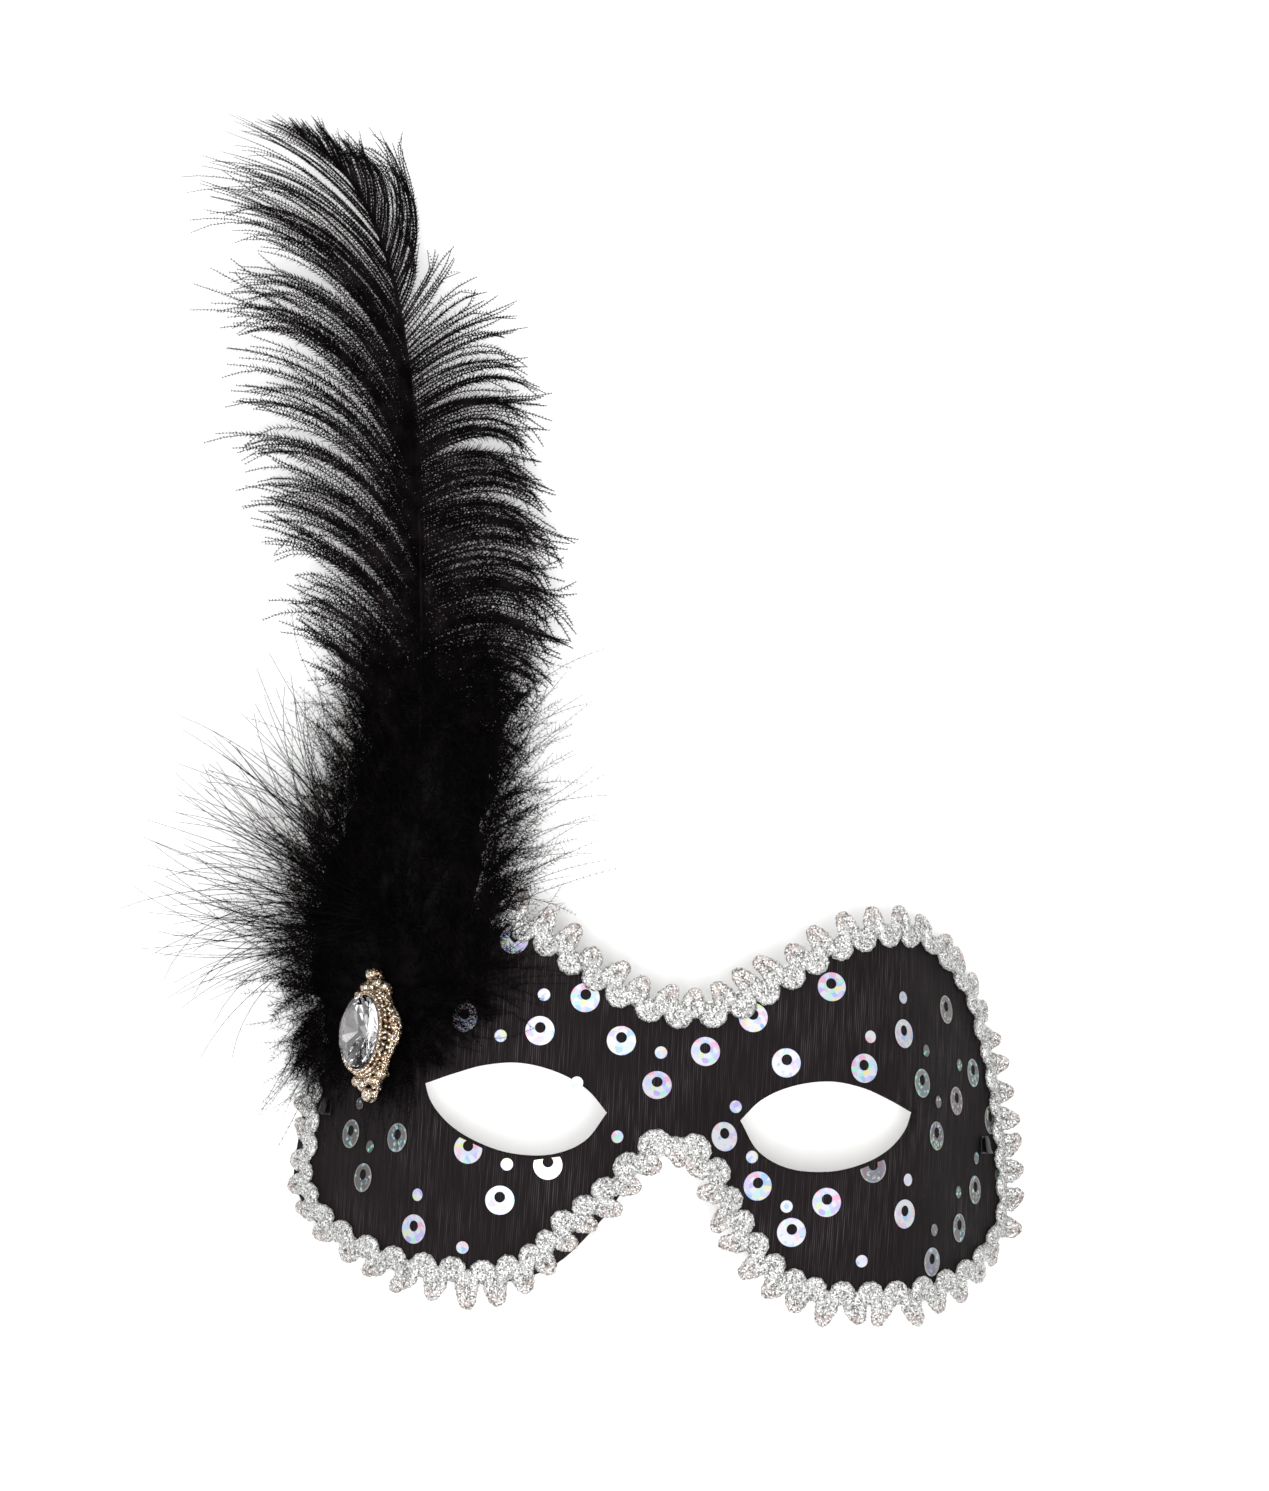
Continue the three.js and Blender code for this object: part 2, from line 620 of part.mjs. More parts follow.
// The down: flat pointed tufts fanned round a short spine beside the quill, from the brooch's top up
function downTufts() {
  const random = seededRandom(23);
  const spine = new THREE.CatmullRomCurve3([
    [-69.3, 34.5, 33], [-67.5, 45, 38.5], [-65.7, 61, 42], [-65.5, 84, 45], [-65, 100, 46.5],
  ].map((p) => new THREE.Vector3(...p)));
  const core = spine.getSpacedPoints(7);
  const coreRadii = core.map((_, i) => {
    const r = 5 - 3.2 * (i / 7) ** 2;
    return [r, r * 0.7];
  });
  let body = toManifold(taperedTube(core, coreRadii, () => UP, 6));
  for (let i = 0; i < DOWN_TUFTS; i += 1) {
    const v = i / (DOWN_TUFTS - 1);
    const side = i % 2 === 0 ? -1 : 1;
    const fan = THREE.MathUtils.degToRad(THREE.MathUtils.lerp(...DOWN_FAN, v ** 0.85) + 14 * (random() - 0.5));
    const right = THREE.MathUtils.lerp(...DOWN_REACH_RIGHT, Math.sin(fan) ** 2);
    const length = (side < 0 ? DOWN_REACH_LEFT : right) * (0.9 + 0.2 * random()) * (1 - 0.2 * v);
    const climb = (side < 0 ? -0.75 : -0.05) * (1 - 0.55 * v) + 0.3 * (random() - 0.5);
    const root = spine.getPointAt(0.04 + 0.9 * v ** 1.25);
    body = body.add(toManifold(downTuft(root, side, fan, length, climb)));
  }
  return body;
}

// Space that the down leaves under, round and over the brooch
function broochRoom() {
  const room = new THREE.Mesh(settingPlate(DOWN_BROOCH_ROOM, DOWN_BROOCH_DEPTH));
  placeInBrooch(room, -DOWN_BROOCH_ROOM);
  room.updateMatrix();
  return toManifold(room.geometry.applyMatrix4(room.matrix));
}

function down(plumeClearance) {
  const top = COVER_TOP + BRAID_CLEARANCE + BRAID_THICKNESS + DOWN_CLEARANCE;
  const face = toManifold(faceLayer(-12, top, -PICOT_LENGTH - 1.2, -40));
  return fromManifold(largestBody(downTufts().subtract(plumeClearance).subtract(face).subtract(broochRoom())));
}

// A folded end of the tie ribbon, tucked in beside the braid
function ribbonTab(side) {
  const profile = [[-2.4, 0], [2.2, 0], [2.6, 0.9], [2, 1.7], [-1.2, 1.5], [-2.4, 0.9]];
  const shape = new THREE.Shape(profile.map(([x, y]) => new THREE.Vector2(side * x, y)));
  const tab = new THREE.ExtrudeGeometry(shape, { depth: 4.4, bevelEnabled: false });
  tab.translate(0, 0, -2.2);
  tab.rotateX(Math.PI / 2);
  return tab;
}

const COLOURS = {
  shell: new THREE.MeshStandardMaterial({ color: 0xeeece6, roughness: 0.6, metalness: 0 }),
  fabric: new THREE.MeshStandardMaterial({ color: 0x1c191c, roughness: 0.75, metalness: 0 }),
  braid: new THREE.MeshStandardMaterial({ color: 0xc9cac8, roughness: 0.35, metalness: 0.7 }),
  foil: new THREE.MeshStandardMaterial({ color: 0xdde2ea, roughness: 0.15, metalness: 0.9 }),
  gold: new THREE.MeshStandardMaterial({ color: 0xd9b98a, roughness: 0.3, metalness: 1 }),
  stone: new THREE.MeshStandardMaterial({ color: 0xd5d8da, roughness: 0.05, metalness: 0 }),
  feather: new THREE.MeshStandardMaterial({ color: 0x0d0b0c, roughness: 0.8, metalness: 0 }),
};

const mask = new THREE.Group();

function addPiece(name, geometry, material) {
  const mesh = new THREE.Mesh(geometry, material);
  mesh.name = name;
  mask.add(mesh);
  return mesh;
}

addPiece('mask_shell', faceLayer(-SHELL_WALL, 0, 0, 0), COLOURS.shell);
addPiece('fabric_cover', faceLayer(COVER_GAP, COVER_TOP, COVER_INSET, FLOOR_CLEARANCE), COLOURS.fabric);
addPiece('braid_trim', braidRing(), COLOURS.braid);

SEQUIN_PLACES.forEach(([x, y], i) => {
  const sequin = addPiece(`sequin_${String(i + 1).padStart(2, '0')}`, sequinGeometry(), COLOURS.foil);
  placeOnFace(sequin, x, y, discLift(x, y, SEQUIN_RADIUS));
});

const setting = addPiece('brooch_setting', broochSetting(), COLOURS.gold);
placeInBrooch(setting, 0);
const stone = addPiece('brooch_stone', broochStone(), COLOURS.stone);
placeInBrooch(stone, BROOCH_PLATE + COVER_GAP);

for (const [name, side] of [['ribbon_tab_right', 1], ['ribbon_tab_left', -1]]) {
  const tab = addPiece(name, ribbonTab(side), COLOURS.fabric);
  placeOnFace(tab, side * 80.6, -2.8, COVER_TOP + SEQUIN_CLEARANCE);
}

addPiece('ostrich_plume', fromManifold(plume(0)), COLOURS.feather);
addPiece('down_plume', down(plume(0.35)), COLOURS.feather);

// The origin goes to the middle of the underside of the whole mask's box
mask.updateMatrixWorld(true);
const extent = new THREE.Box3().setFromObject(mask, true);
const centre = extent.getCenter(new THREE.Vector3());
mask.position.set(-centre.x, -centre.y, -extent.min.z);

export default mask;
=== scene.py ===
"""Looks of a Venetian half mask with an ostrich plume, lying face up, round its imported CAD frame.

Lengths are millimetres in the mask's own frame (origin between the eyes on the rest plane, X across the
face, Y towards the plume, Z up) until a mesh is made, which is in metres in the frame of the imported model.
"""

import logging
import math
from dataclasses import dataclass
from enum import Enum
from typing import Any, Callable, Optional, Sequence, Union

import bmesh
import bpy
import numpy as np
from mathutils import Matrix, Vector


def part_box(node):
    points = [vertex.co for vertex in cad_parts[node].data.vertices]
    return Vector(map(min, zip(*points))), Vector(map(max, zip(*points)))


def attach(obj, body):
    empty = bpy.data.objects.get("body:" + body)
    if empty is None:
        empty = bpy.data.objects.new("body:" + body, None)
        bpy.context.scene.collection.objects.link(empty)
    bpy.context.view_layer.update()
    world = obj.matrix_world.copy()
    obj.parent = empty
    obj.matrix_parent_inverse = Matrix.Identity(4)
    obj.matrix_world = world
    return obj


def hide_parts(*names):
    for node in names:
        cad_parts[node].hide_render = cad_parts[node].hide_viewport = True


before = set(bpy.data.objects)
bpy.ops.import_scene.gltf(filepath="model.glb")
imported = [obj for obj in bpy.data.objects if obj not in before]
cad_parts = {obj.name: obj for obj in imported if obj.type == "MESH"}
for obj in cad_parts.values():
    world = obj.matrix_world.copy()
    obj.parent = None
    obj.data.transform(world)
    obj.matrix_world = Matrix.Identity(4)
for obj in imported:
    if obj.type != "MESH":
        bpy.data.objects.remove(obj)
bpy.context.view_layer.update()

log = logging.getLogger("mask")

MM = 0.001
BODY = "root"
UP = np.array([0.0, 0.0, 1.0])
NORTH = np.array([0.0, 1.0, 0.0])

Array = np.ndarray
Material = bpy.types.Material
Node = bpy.types.Node
Piece = bpy.types.Object
Socket = bpy.types.NodeSocket
Amount = Union[Array, float]
Pair = tuple[float, float]
Triple = Colour = tuple[float, float, float]
Pairs = tuple[Pair, ...]
Triples = tuple[Triple, ...]
Stops = tuple[tuple[float, Colour], ...]
Faces = Sequence[Sequence[int]]
Input = Union["Number", Node, Socket, float, int, str, Sequence[float], bpy.types.ID]


class Slot(Enum):
    """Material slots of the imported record."""

    SHELL = "shell"
    COVER = "cover_fabric"
    BRAID = "silver_braid"
    RIBBON = "tie_ribbon"
    FEATHER = "feather"
    SEQUIN = "sequin_foil"
    GOLD = "gold_setting"
    STONE = "clear_stone"


class Side(Enum):
    """The two sides of the mask and of the plume, as seen in the photograph."""

    LEFT = -1
    RIGHT = 1


# Numbers and node trees


class Number:
    """A number socket of a node tree that takes part in Python expressions."""

    SMOOTH = {"interpolation_type": "SMOOTHSTEP"}

    def __init__(self, graph: "Graph", value: Union[Node, Socket]) -> None:
        """Wraps an output, or a node's first output, and the tree that gets its Math nodes."""
        self.graph = graph
        self.socket = value.outputs[0] if isinstance(value, Node) else value

    def _maths(self, operation: str, *others: Input, swapped: bool = False) -> "Number":
        """Result of a Math node on this number and others, or the other way round."""
        operands = dict(enumerate([*others, self] if swapped else [self, *others]))
        return Number(self.graph, self.graph.node("ShaderNodeMath", {"operation": operation}, operands))

    def __add__(self, other: Input) -> "Number":
        """Sum."""
        return self._maths("ADD", other)

    __radd__ = __add__

    def __sub__(self, other: Input) -> "Number":
        """Difference."""
        return self._maths("SUBTRACT", other)

    def __rsub__(self, other: Input) -> "Number":
        """Difference from a plain number."""
        return self._maths("SUBTRACT", other, swapped=True)

    def __mul__(self, other: Input) -> "Number":
        """Product."""
        return self._maths("MULTIPLY", other)

    __rmul__ = __mul__

    def __truediv__(self, other: Input) -> "Number":
        """Quotient."""
        return self._maths("DIVIDE", other)

    def sine(self) -> "Number":
        """Sine of the number in radians."""
        return self._maths("SINE")

    def ramp(self, low: float, high: float, to_low: float = 0.0, to_high: float = 1.0) -> "Number":
        """Maps the range from low to high onto another with a smooth step, clamped at both ends."""
        inputs = dict(enumerate((self, low, high, to_low, to_high)))
        return Number(self.graph, self.graph.node("ShaderNodeMapRange", self.SMOOTH, inputs))


class Graph:
    """A node tree that is filled from Python."""

    def __init__(self, tree: bpy.types.NodeTree) -> None:
        """Wraps an empty shader or geometry tree."""
        self.tree = tree

    def node(
        self,
        kind: str,
        settings: Optional[dict[str, Any]] = None,
        inputs: Optional[dict[Union[str, int], Input]] = None,
    ) -> Node:
        """Adds a node.

        Args:
            kind: Blender's type name of the node.
            settings: Its properties, and "stops" for the stops of a colour ramp.
            inputs: Values or links of its sockets, by name or index; a node gives its first output.

        Returns:
            The new node.
        """
        node = self.tree.nodes.new(kind)
        for name, value in (settings or {}).items():
            if name == "stops":
                self._set_stops(node.color_ramp, value)
            else:
                setattr(node, name, value)
        for key, value in (inputs or {}).items():
            socket = node.inputs[key] if isinstance(key, int) else self._named(node.inputs, key)
            value = value.socket if isinstance(value, Number) else value
            value = value.outputs[0] if isinstance(value, Node) else value
            if isinstance(value, Socket):
                self.tree.links.new(value, socket)
            else:
                socket.default_value = value
        return node

    @staticmethod
    def _named(sockets: Sequence[Socket], name: str) -> Socket:
        """First usable socket of a name."""
        return next(s for s in sockets if s.name == name and not s.is_unavailable)

    @staticmethod
    def _set_stops(ramp: bpy.types.ColorRamp, stops: Stops) -> None:
        """Gives a colour ramp, which has two stops at first, the places and colours of its stops.

        Args:
            ramp: The colour ramp.
            stops: Place and colour of each stop.
        """
        while len(ramp.elements) < len(stops):
            ramp.elements.new(1.0)
        for element, (place, colour) in zip(ramp.elements, stops):
            element.position = place
            element.color = (*colour, 1.0)

    def out(self, node: Node, name: str) -> Socket:
        """Output socket of a node by its name."""
        return self._named(node.outputs, name)

    def parts(self, vector: Input) -> tuple[Number, Number, Number]:
        """The three numbers of a vector or colour."""
        node = self.node("ShaderNodeSeparateXYZ", None, {0: vector})
        return tuple(Number(self, socket) for socket in node.outputs)

    def together(self, x: Input, y: Input, z: Input = 0.0) -> Socket:
        """Vector of three numbers."""
        return self.node("ShaderNodeCombineXYZ", None, {0: x, 1: y, 2: z}).outputs[0]

    def number(self, node: Node, name: str) -> Number:
        """Output of a node as a number for expressions."""
        return Number(self, self.out(node, name))

    def vector(self, operation: str, *operands: Input, scale: Optional[Input] = None) -> Socket:
        """Result of one Vector Math node on its vectors, or on a vector and the factor of SCALE."""
        inputs = dict(enumerate(operands)) if scale is None else {0: operands[0], "Scale": scale}
        return self.node("ShaderNodeVectorMath", {"operation": operation}, inputs).outputs[0]


class Paint(Graph):
    """The node tree of one material, with the textures that its finishes share."""

    def __init__(self, name: str) -> None:
        """Starts an empty material.

        Args:
            name: Name of the material.
        """
        self.material = bpy.data.materials.new(name)
        self.material.use_nodes = True
        super().__init__(self.material.node_tree)
        self.tree.nodes.clear()

    def place(self) -> Socket:
        """Object coordinates in millimetres."""
        return self.vector("SCALE", self.out(self.node("ShaderNodeTexCoord"), "Object"), scale=1.0 / MM)

    def attribute(self, name: str) -> Number:
        """Number that the piece's own mesh carries."""
        return self.number(self.node("ShaderNodeAttribute", {"attribute_name": name}), "Fac")

    def stops(self, share: Input, stops: Stops) -> Socket:
        """Colour of a ramp at a share of its length."""
        return self.out(self.node("ShaderNodeValToRGB", {"stops": stops}, {"Fac": share}), "Color")

    def noise(self, at: Input, cell: float, detail: float = 2.0) -> Number:
        """Noise between 0 and 1 whose largest blotches have a size in millimetres."""
        node = self.node("ShaderNodeTexNoise", None, {"Vector": at, "Scale": 1.0 / cell, "Detail": detail})
        return self.number(node, "Fac")

    def cells(self, at: Input, size: float) -> tuple[Number, Socket]:
        """Voronoi cells of a width in millimetres: distance from a cell's middle, and its random colour."""
        node = self.node("ShaderNodeTexVoronoi", None, {"Vector": at, "Scale": 1.0 / size})
        return self.number(node, "Distance"), self.out(node, "Color")

    def mix(self, share: Input, a: Input, b: Input) -> Socket:
        """Colour between two colours.

        Args:
            share: Share of the second colour.
            a: First colour.
            b: Second colour.

        Returns:
            Socket of the mixed colour.
        """
        a = (*a, 1.0) if isinstance(a, tuple) else a
        b = (*b, 1.0) if isinstance(b, tuple) else b
        node = self.node("ShaderNodeMix", {"data_type": "RGBA"}, {"Factor": share, "A": a, "B": b})
        return self.out(node, "Result")

    def bump(self, height: Number, depth: float, strength: float = 1.0) -> Socket:
        """Normal bent by a relief between 0 and 1 that is some millimetres deep."""
        inputs = {"Height": height, "Distance": depth * MM, "Strength": strength}
        return self.out(self.node("ShaderNodeBump", None, inputs), "Normal")

    def surface(self, **inputs: Input) -> Material:
        """Ends the material in a Principled shader.

        Args:
            inputs: The shader's sockets, with underscores for spaces.

        Returns:
            The finished material.
        """
        named = {}
        for key, value in inputs.items():
            value = (*value, 1.0) if isinstance(value, tuple) and len(value) == 3 else value
            named[key.replace("_", " ")] = value
        shader = self.node("ShaderNodeBsdfPrincipled", None, named)
        self.node("ShaderNodeOutputMaterial", None, {"Surface": shader})
        return self.material


class Recipe(Graph):
    """A Geometry Nodes tree with named inputs that turns a carrier mesh into a piece."""

    def __init__(self, name: str) -> None:
        """Starts a tree with its carrier, piece and finish sockets.

        Args:
            name: Name of the tree.
        """
        super().__init__(bpy.data.node_groups.new(name, "GeometryNodeTree"))
        self.identifiers: dict[str, str] = {}
        self.tree.interface.new_socket("Carrier", in_out="INPUT", socket_type="NodeSocketGeometry")
        self.tree.interface.new_socket("Piece", in_out="OUTPUT", socket_type="NodeSocketGeometry")
        self.entry = self.node("NodeGroupInput")
        self.carrier = self.entry.outputs[0]
        self.finish = self._input("Finish", "NodeSocketMaterial")

    def _input(self, name: str, kind: str) -> Socket:
        """Adds a named input and gives its socket inside the tree.

        Args:
            name: Name of the input.
            kind: Type of its socket.

        Returns:
            Its socket inside the tree.
        """
        item = self.tree.interface.new_socket(name, in_out="INPUT", socket_type=kind)
        self.identifiers[name] = item.identifier
        return self.entry.outputs[name]

    def size(self, name: str) -> Number:
        """Adds a named number input."""
        return Number(self, self._input(name, "NodeSocketFloat"))

    def count(self, name: str) -> Socket:
        """Adds a named whole-number input."""
        return self._input(name, "NodeSocketInt")

    def read(self, name: str, kind: str = "FLOAT") -> Socket:
        """Reads a named attribute of the carrier."""
        node = self.node("GeometryNodeInputNamedAttribute", {"data_type": kind}, {"Name": name})
        return self.out(node, "Attribute")

    def random(self, low: float, high: float, seed: int) -> Number:
        """Random number for each element."""
        inputs = {"Min": low, "Max": high, "Seed": seed}
        return self.number(self.node("FunctionNodeRandomValue", {"data_type": "FLOAT"}, inputs), "Value")

    def close(self, geometry: Input) -> None:
        """Ends the tree in Realize Instances and Set Material.

        Args:
            geometry: Geometry that the tree gives.
        """
        real = self.node("GeometryNodeRealizeInstances", None, {"Geometry": geometry})
        dressed = self.node("GeometryNodeSetMaterial", None, {"Geometry": real, "Material": self.finish})
        self.node("NodeGroupOutput", None, {0: dressed})

    def run(self, name: str, carrier: Piece, values: dict[str, Any]) -> Piece:
        """Applies the tree to a carrier.

        Args:
            name: Name of the finished piece.
            carrier: Object with the carrier mesh; it is removed.
            values: Values of the named inputs.

        Returns:
            The piece as a plain mesh object.
        """
        modifier = carrier.modifiers.new(self.tree.name, "NODES")
        modifier.node_group = self.tree
        for key, value in values.items():
            modifier[self.identifiers[key]] = value
        bpy.context.view_layer.update()
        graph = bpy.context.evaluated_depsgraph_get()
        mesh = bpy.data.meshes.new_from_object(carrier.evaluated_get(graph), depsgraph=graph)
        bpy.data.objects.remove(carrier)
        mesh.name = name
        return link(bpy.data.objects.new(name, mesh))


# The mask's form


def unit(vectors: Array) -> Array:
    """Vectors scaled to length 1."""
    return vectors / np.maximum(np.linalg.norm(vectors, axis=-1, keepdims=True), 1e-12)


def turns(count: int, phase: float = 0.0) -> Array:
    """Angles of evenly spread directions, the first one at a phase counted in steps."""
    return (np.arange(count) + phase) * 2 * math.pi / count


def oval(angle: Array, across: Amount = 1.0, upright: Amount = 1.0) -> Array:
    """Plan points of an oval at given angles."""
    return np.stack([across * np.cos(angle), upright * np.sin(angle)], axis=-1)


def oval_reach(angle: Amount, across: float, upright: float) -> Amount:
    """Distance of an oval's edge from its middle in given directions."""
    return 1 / np.hypot(np.cos(angle) / across, np.sin(angle) / upright)


def stacked(loops: Sequence[tuple[Array, float]]) -> Array:
    """Points of plan loops, each at its own height."""
    return np.concatenate([np.column_stack([loop, np.full(len(loop), z)]) for loop, z in loops])


@dataclass(frozen=True)
class FaceForm:
    """The moulded face as a height over the rest plane: a flat brow that turns down at the temples."""

    brow_height: float = 53.0
    temple_slope: float = math.tan(math.radians(60.0))
    turn_start: float = 56.0
    turn_softness: float = 6.8
    turn_lean: float = 0.13
    profile_radius: float = 260.0
    nose_height: float = 10.0
    nose_width: float = 9.5
    nose_start: float = 2.0
    nose_fade: float = 5.0
    wall: float = 1.4

    def height(self, x: Amount, y: Amount) -> Amount:
        """Height of the front surface.

        Args:
            x: Places across the face.
            y: Places along the face.

        Returns:
            Heights over the rest plane.
        """
        past_turn = (np.abs(x) - (self.turn_start - self.turn_lean * y)) / self.turn_softness
        turn = self.temple_slope * self.turn_softness * np.logaddexp(0.0, past_turn)
        profile = y * y / (2 * self.profile_radius)
        fade = 1 + np.exp((y - self.nose_start) / self.nose_fade)
        nose = self.nose_height * np.exp(-((x / self.nose_width) ** 2) / 2) / fade
        return self.brow_height - turn - profile + nose

    def normal(self, x: Amount, y: Amount) -> Array:
        """Outward normals of the front surface.

        Args:
            x: Places across the face.
            y: Places along the face.

        Returns:
            Unit vectors.
        """
        h = 0.01
        slope_x = (self.height(x + h, y) - self.height(x - h, y)) / (2 * h)
        slope_y = (self.height(x, y + h) - self.height(x, y - h)) / (2 * h)
        return unit(np.stack([-slope_x, -slope_y, np.ones_like(slope_x)], axis=-1))

    def point(self, x: Amount, y: Amount, offset: Amount) -> Array:
        """Points at a distance from the front surface along its normal."""
        base = np.stack([x, y, self.height(x, y)], axis=-1)
        return base + self.normal(x, y) * np.asarray(offset)[..., None]

    def temple_edge(self, y: Amount) -> Amount:
        """Distance from the middle at which the face meets the rest plane.

        Args:
            y: Places along the face.

        Returns:
            The distances.
        """
        brow = self.brow_height - y * y / (2 * self.profile_radius)
        drop = np.expm1(brow / (self.temple_slope * self.turn_softness))
        return self.turn_start - self.turn_lean * y + self.turn_softness * np.log(drop)

    def basis(self, x: float, y: float, turn: float = 0.0) -> Array:
        """Axes of something glued on the face.

        Args:
            x: Place across the face.
            y: Place along the face.
            turn: Turn about the normal in radians.

        Returns:
            Rows side, along and normal.
        """
        normal = self.normal(x, y)
        side = unit(np.cross(NORTH, normal))
        along = np.cross(normal, side)
        turned = side * math.cos(turn) + along * math.sin(turn)
        return np.stack([turned, np.cross(normal, turned), normal])


class Spline:
    """Centripetal Catmull-Rom curve through given points, measured by its length."""

    SAMPLES = 80

    def __init__(self, points: Sequence[Sequence[float]], closed: bool = False) -> None:
        """Samples the curve.

        Args:
            points: Points that it passes.
            closed: Whether it returns to the first one.
        """
        p = np.asarray(points, float)
        if closed:
            p = np.concatenate([p[-1:], p, p[:2]])
        else:
            p = np.concatenate([2 * p[:1] - p[1:2], p, 2 * p[-1:] - p[-2:-1]])
        t = np.linspace(0, 1, self.SAMPLES, endpoint=False)[:, None]
        spans = [self._span(*p[i : i + 4], t) for i in range(len(p) - 3)]
        self.table = np.concatenate([*spans, p[-2:-1]])
        steps = np.linalg.norm(np.diff(self.table, axis=0), axis=1)
        self.lengths = np.concatenate([[0.0], np.cumsum(steps)])
        self.length = float(self.lengths[-1])
        self.closed = closed

    @staticmethod
    def _span(a: Array, b: Array, c: Array, d: Array, t: Array) -> Array:
        """Points of the span from b to c.

        Args:
            a: Point before the span.
            b: Its first point.
            c: Its last point.
            d: Point after the span.
            t: Shares of the span.

        Returns:
            The points.
        """
        ab, bc, cd = (math.sqrt(np.linalg.norm(q - p)) for p, q in ((a, b), (b, c), (c, d)))
        start = ((b - a) / ab - (c - a) / (ab + bc) + (c - b) / bc) * bc
        end = ((c - b) / bc - (d - b) / (bc + cd) + (d - c) / cd) * bc
        return b + start * t + (3 * (c - b) - 2 * start - end) * t**2 + (2 * (b - c) + start + end) * t**3

    def at(self, share: Array) -> Array:
        """Points at shares of the length.

        Args:
            share: Shares of the length.

        Returns:
            The points.
        """
        share = np.asarray(share, float)
        share = share % 1.0 if self.closed else np.clip(share, 0.0, 1.0)
        where = share * self.length
        return np.stack([np.interp(where, self.lengths, axis) for axis in self.table.T], axis=-1)

    def tangent(self, share: Array) -> Array:
        """Directions at shares of the length."""
        h = 2e-4
        return unit(self.at(np.asarray(share) + h) - self.at(np.asarray(share) - h))


class MaskForm:
    """Outline, eye holes and surface of the mask, shared by all that is glued on it."""

    TEMPLE_FLAT_HALF = 19.0
    CAD_RIM_STEPS = 32
    WALK_STEPS = 12
    TOP = ((0, 27.9), (9, 29.3), (22.5, 36.8), (36.5, 45.5), (48, 49.6), (59, 49.3), (69, 43), (77.8, 33.2))
    LOWER = (
        (86.6, -26), (79.5, -34), (66, -39.8), (50, -41.8), (35.6, -41.3), (24.8, -36.2), (15.0, -25.0),
        (7.2, -12.5), (0, -7.3),
    )
    EYE_CENTRE = np.array([37.5, 0.5])
    EYE_UPPER = ((15.6, 0.7), (20.5, 6), (28, 9.9), (37.4, 11.7), (46, 10.6), (54, 7.8), (60.4, 5))
    EYE_LOWER = (
        (60.4, 5), (59, 1), (54.8, -3.9), (48, -8), (38.5, -10.8), (28, -10.4), (20.5, -6.6), (15.6, 0.7),
    )
    EYE_SAMPLES = 160

    def __init__(self, form: FaceForm) -> None:
        """Works the outline and the eye holes out on the surface they lie on.

        Args:
            form: Surface of the face.
        """
        self.form = form
        flat = self.TEMPLE_FLAT_HALF
        temple = [(float(form.temple_edge(y)), y) for y in (flat, 0.0, -flat)]
        right = [*self.TOP, *temple, *self.LOWER]
        left = [(-x, y) for x, y in reversed(right[1:-1])]
        self.outline = Spline([*right, *left], closed=True)
        share = np.linspace(0, 1, self.EYE_SAMPLES)
        arcs = [Spline(arc).at(share) for arc in (self.EYE_UPPER, self.EYE_LOWER)]
        self.eye_loop = np.concatenate(arcs)
        spokes = self.eye_loop - self.EYE_CENTRE
        angles = np.arctan2(spokes[:, 1], spokes[:, 0])
        order = np.argsort(angles)
        self._eye_angles = angles[order]
        self._eye_radii = np.linalg.norm(spokes, axis=1)[order]
        self.shift = self._shift()

    def _shift(self) -> Array:
        """Place of the mask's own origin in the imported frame, from the box of the CAD shell.

        Returns:
            The place in millimetres.
        """
        low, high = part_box("mask_shell")
        rim = self.edge(np.arange(self.CAD_RIM_STEPS + 1) * 0.5 / self.CAD_RIM_STEPS)
        return np.array([(low.x + high.x) / 2 / MM, high.y / MM - rim[:, 1].max(), low.z / MM])

    def to_metres(self, points: Array) -> Array:
        """Points of the mask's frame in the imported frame."""
        return (points + self.shift) * MM

    def edge(self, share: Array) -> Array:
        """Plan points of the cut edge, which lies on the rest plane at the temples.

        Args:
            share: Places along the outline.

        Returns:
            The points.
        """
        p = self.outline.at(share)
        flat = (np.abs(p[..., 1]) < self.TEMPLE_FLAT_HALF) & (np.abs(p[..., 0]) > self.form.turn_start)
        p[..., 0] = np.where(flat, np.sign(p[..., 0]) * self.form.temple_edge(p[..., 1]), p[..., 0])
        return p

    def inward(self, share: Array) -> Array:
        """Plan directions into the face from the edge."""
        t = self.outline.tangent(share)
        return np.stack([t[..., 1], -t[..., 0]], axis=-1)

    def walk(self, share: Array, distance: Array) -> Array:
        """Walks over the face from the edge.

        Args:
            share: Starts along the outline.
            distance: Distances measured on the surface.

        Returns:
            Plan points.
        """
        p = self.edge(share)
        way = self.inward(share)
        for _ in range(self.WALK_STEPS):
            n = self.form.normal(p[..., 0], p[..., 1])
            rise = -(n[..., 0] * way[..., 0] + n[..., 1] * way[..., 1]) / n[..., 2]
            p = p + way * (np.asarray(distance) / self.WALK_STEPS / np.hypot(1, rise))[..., None]
        return p

    def beside(self, share: Array, distance: Array, lift: Array, floor: float) -> Array:
        """Points on the face, or beyond its edge where they follow its slope down to a floor.

        Args:
            share: Places along the outline.
            distance: Distances inwards, negative beyond the edge.
            lift: Distances off the surface.
            floor: Least height.

        Returns:
            Points in space.
        """
        inside = self.walk(share, np.maximum(distance, 0.0))
        on_face = self.form.point(inside[..., 0], inside[..., 1], lift)
        n = self.form.normal(inside[..., 0], inside[..., 1])
        way = -self.inward(share)
        beyond = np.maximum(-np.asarray(distance), 0.0)
        slope = np.arctan2(np.sum(n[..., :2] * way, axis=-1), n[..., 2])
        fall = np.clip(np.sin(slope) * beyond, 0.0, np.maximum(on_face[..., 2] - floor, 0.0))
        reach = np.sqrt(np.maximum(beyond**2 - fall**2, 0.0))
        on_face[..., :2] += way * reach[..., None]
        on_face[..., 2] = np.maximum(on_face[..., 2] - fall, floor)
        return on_face

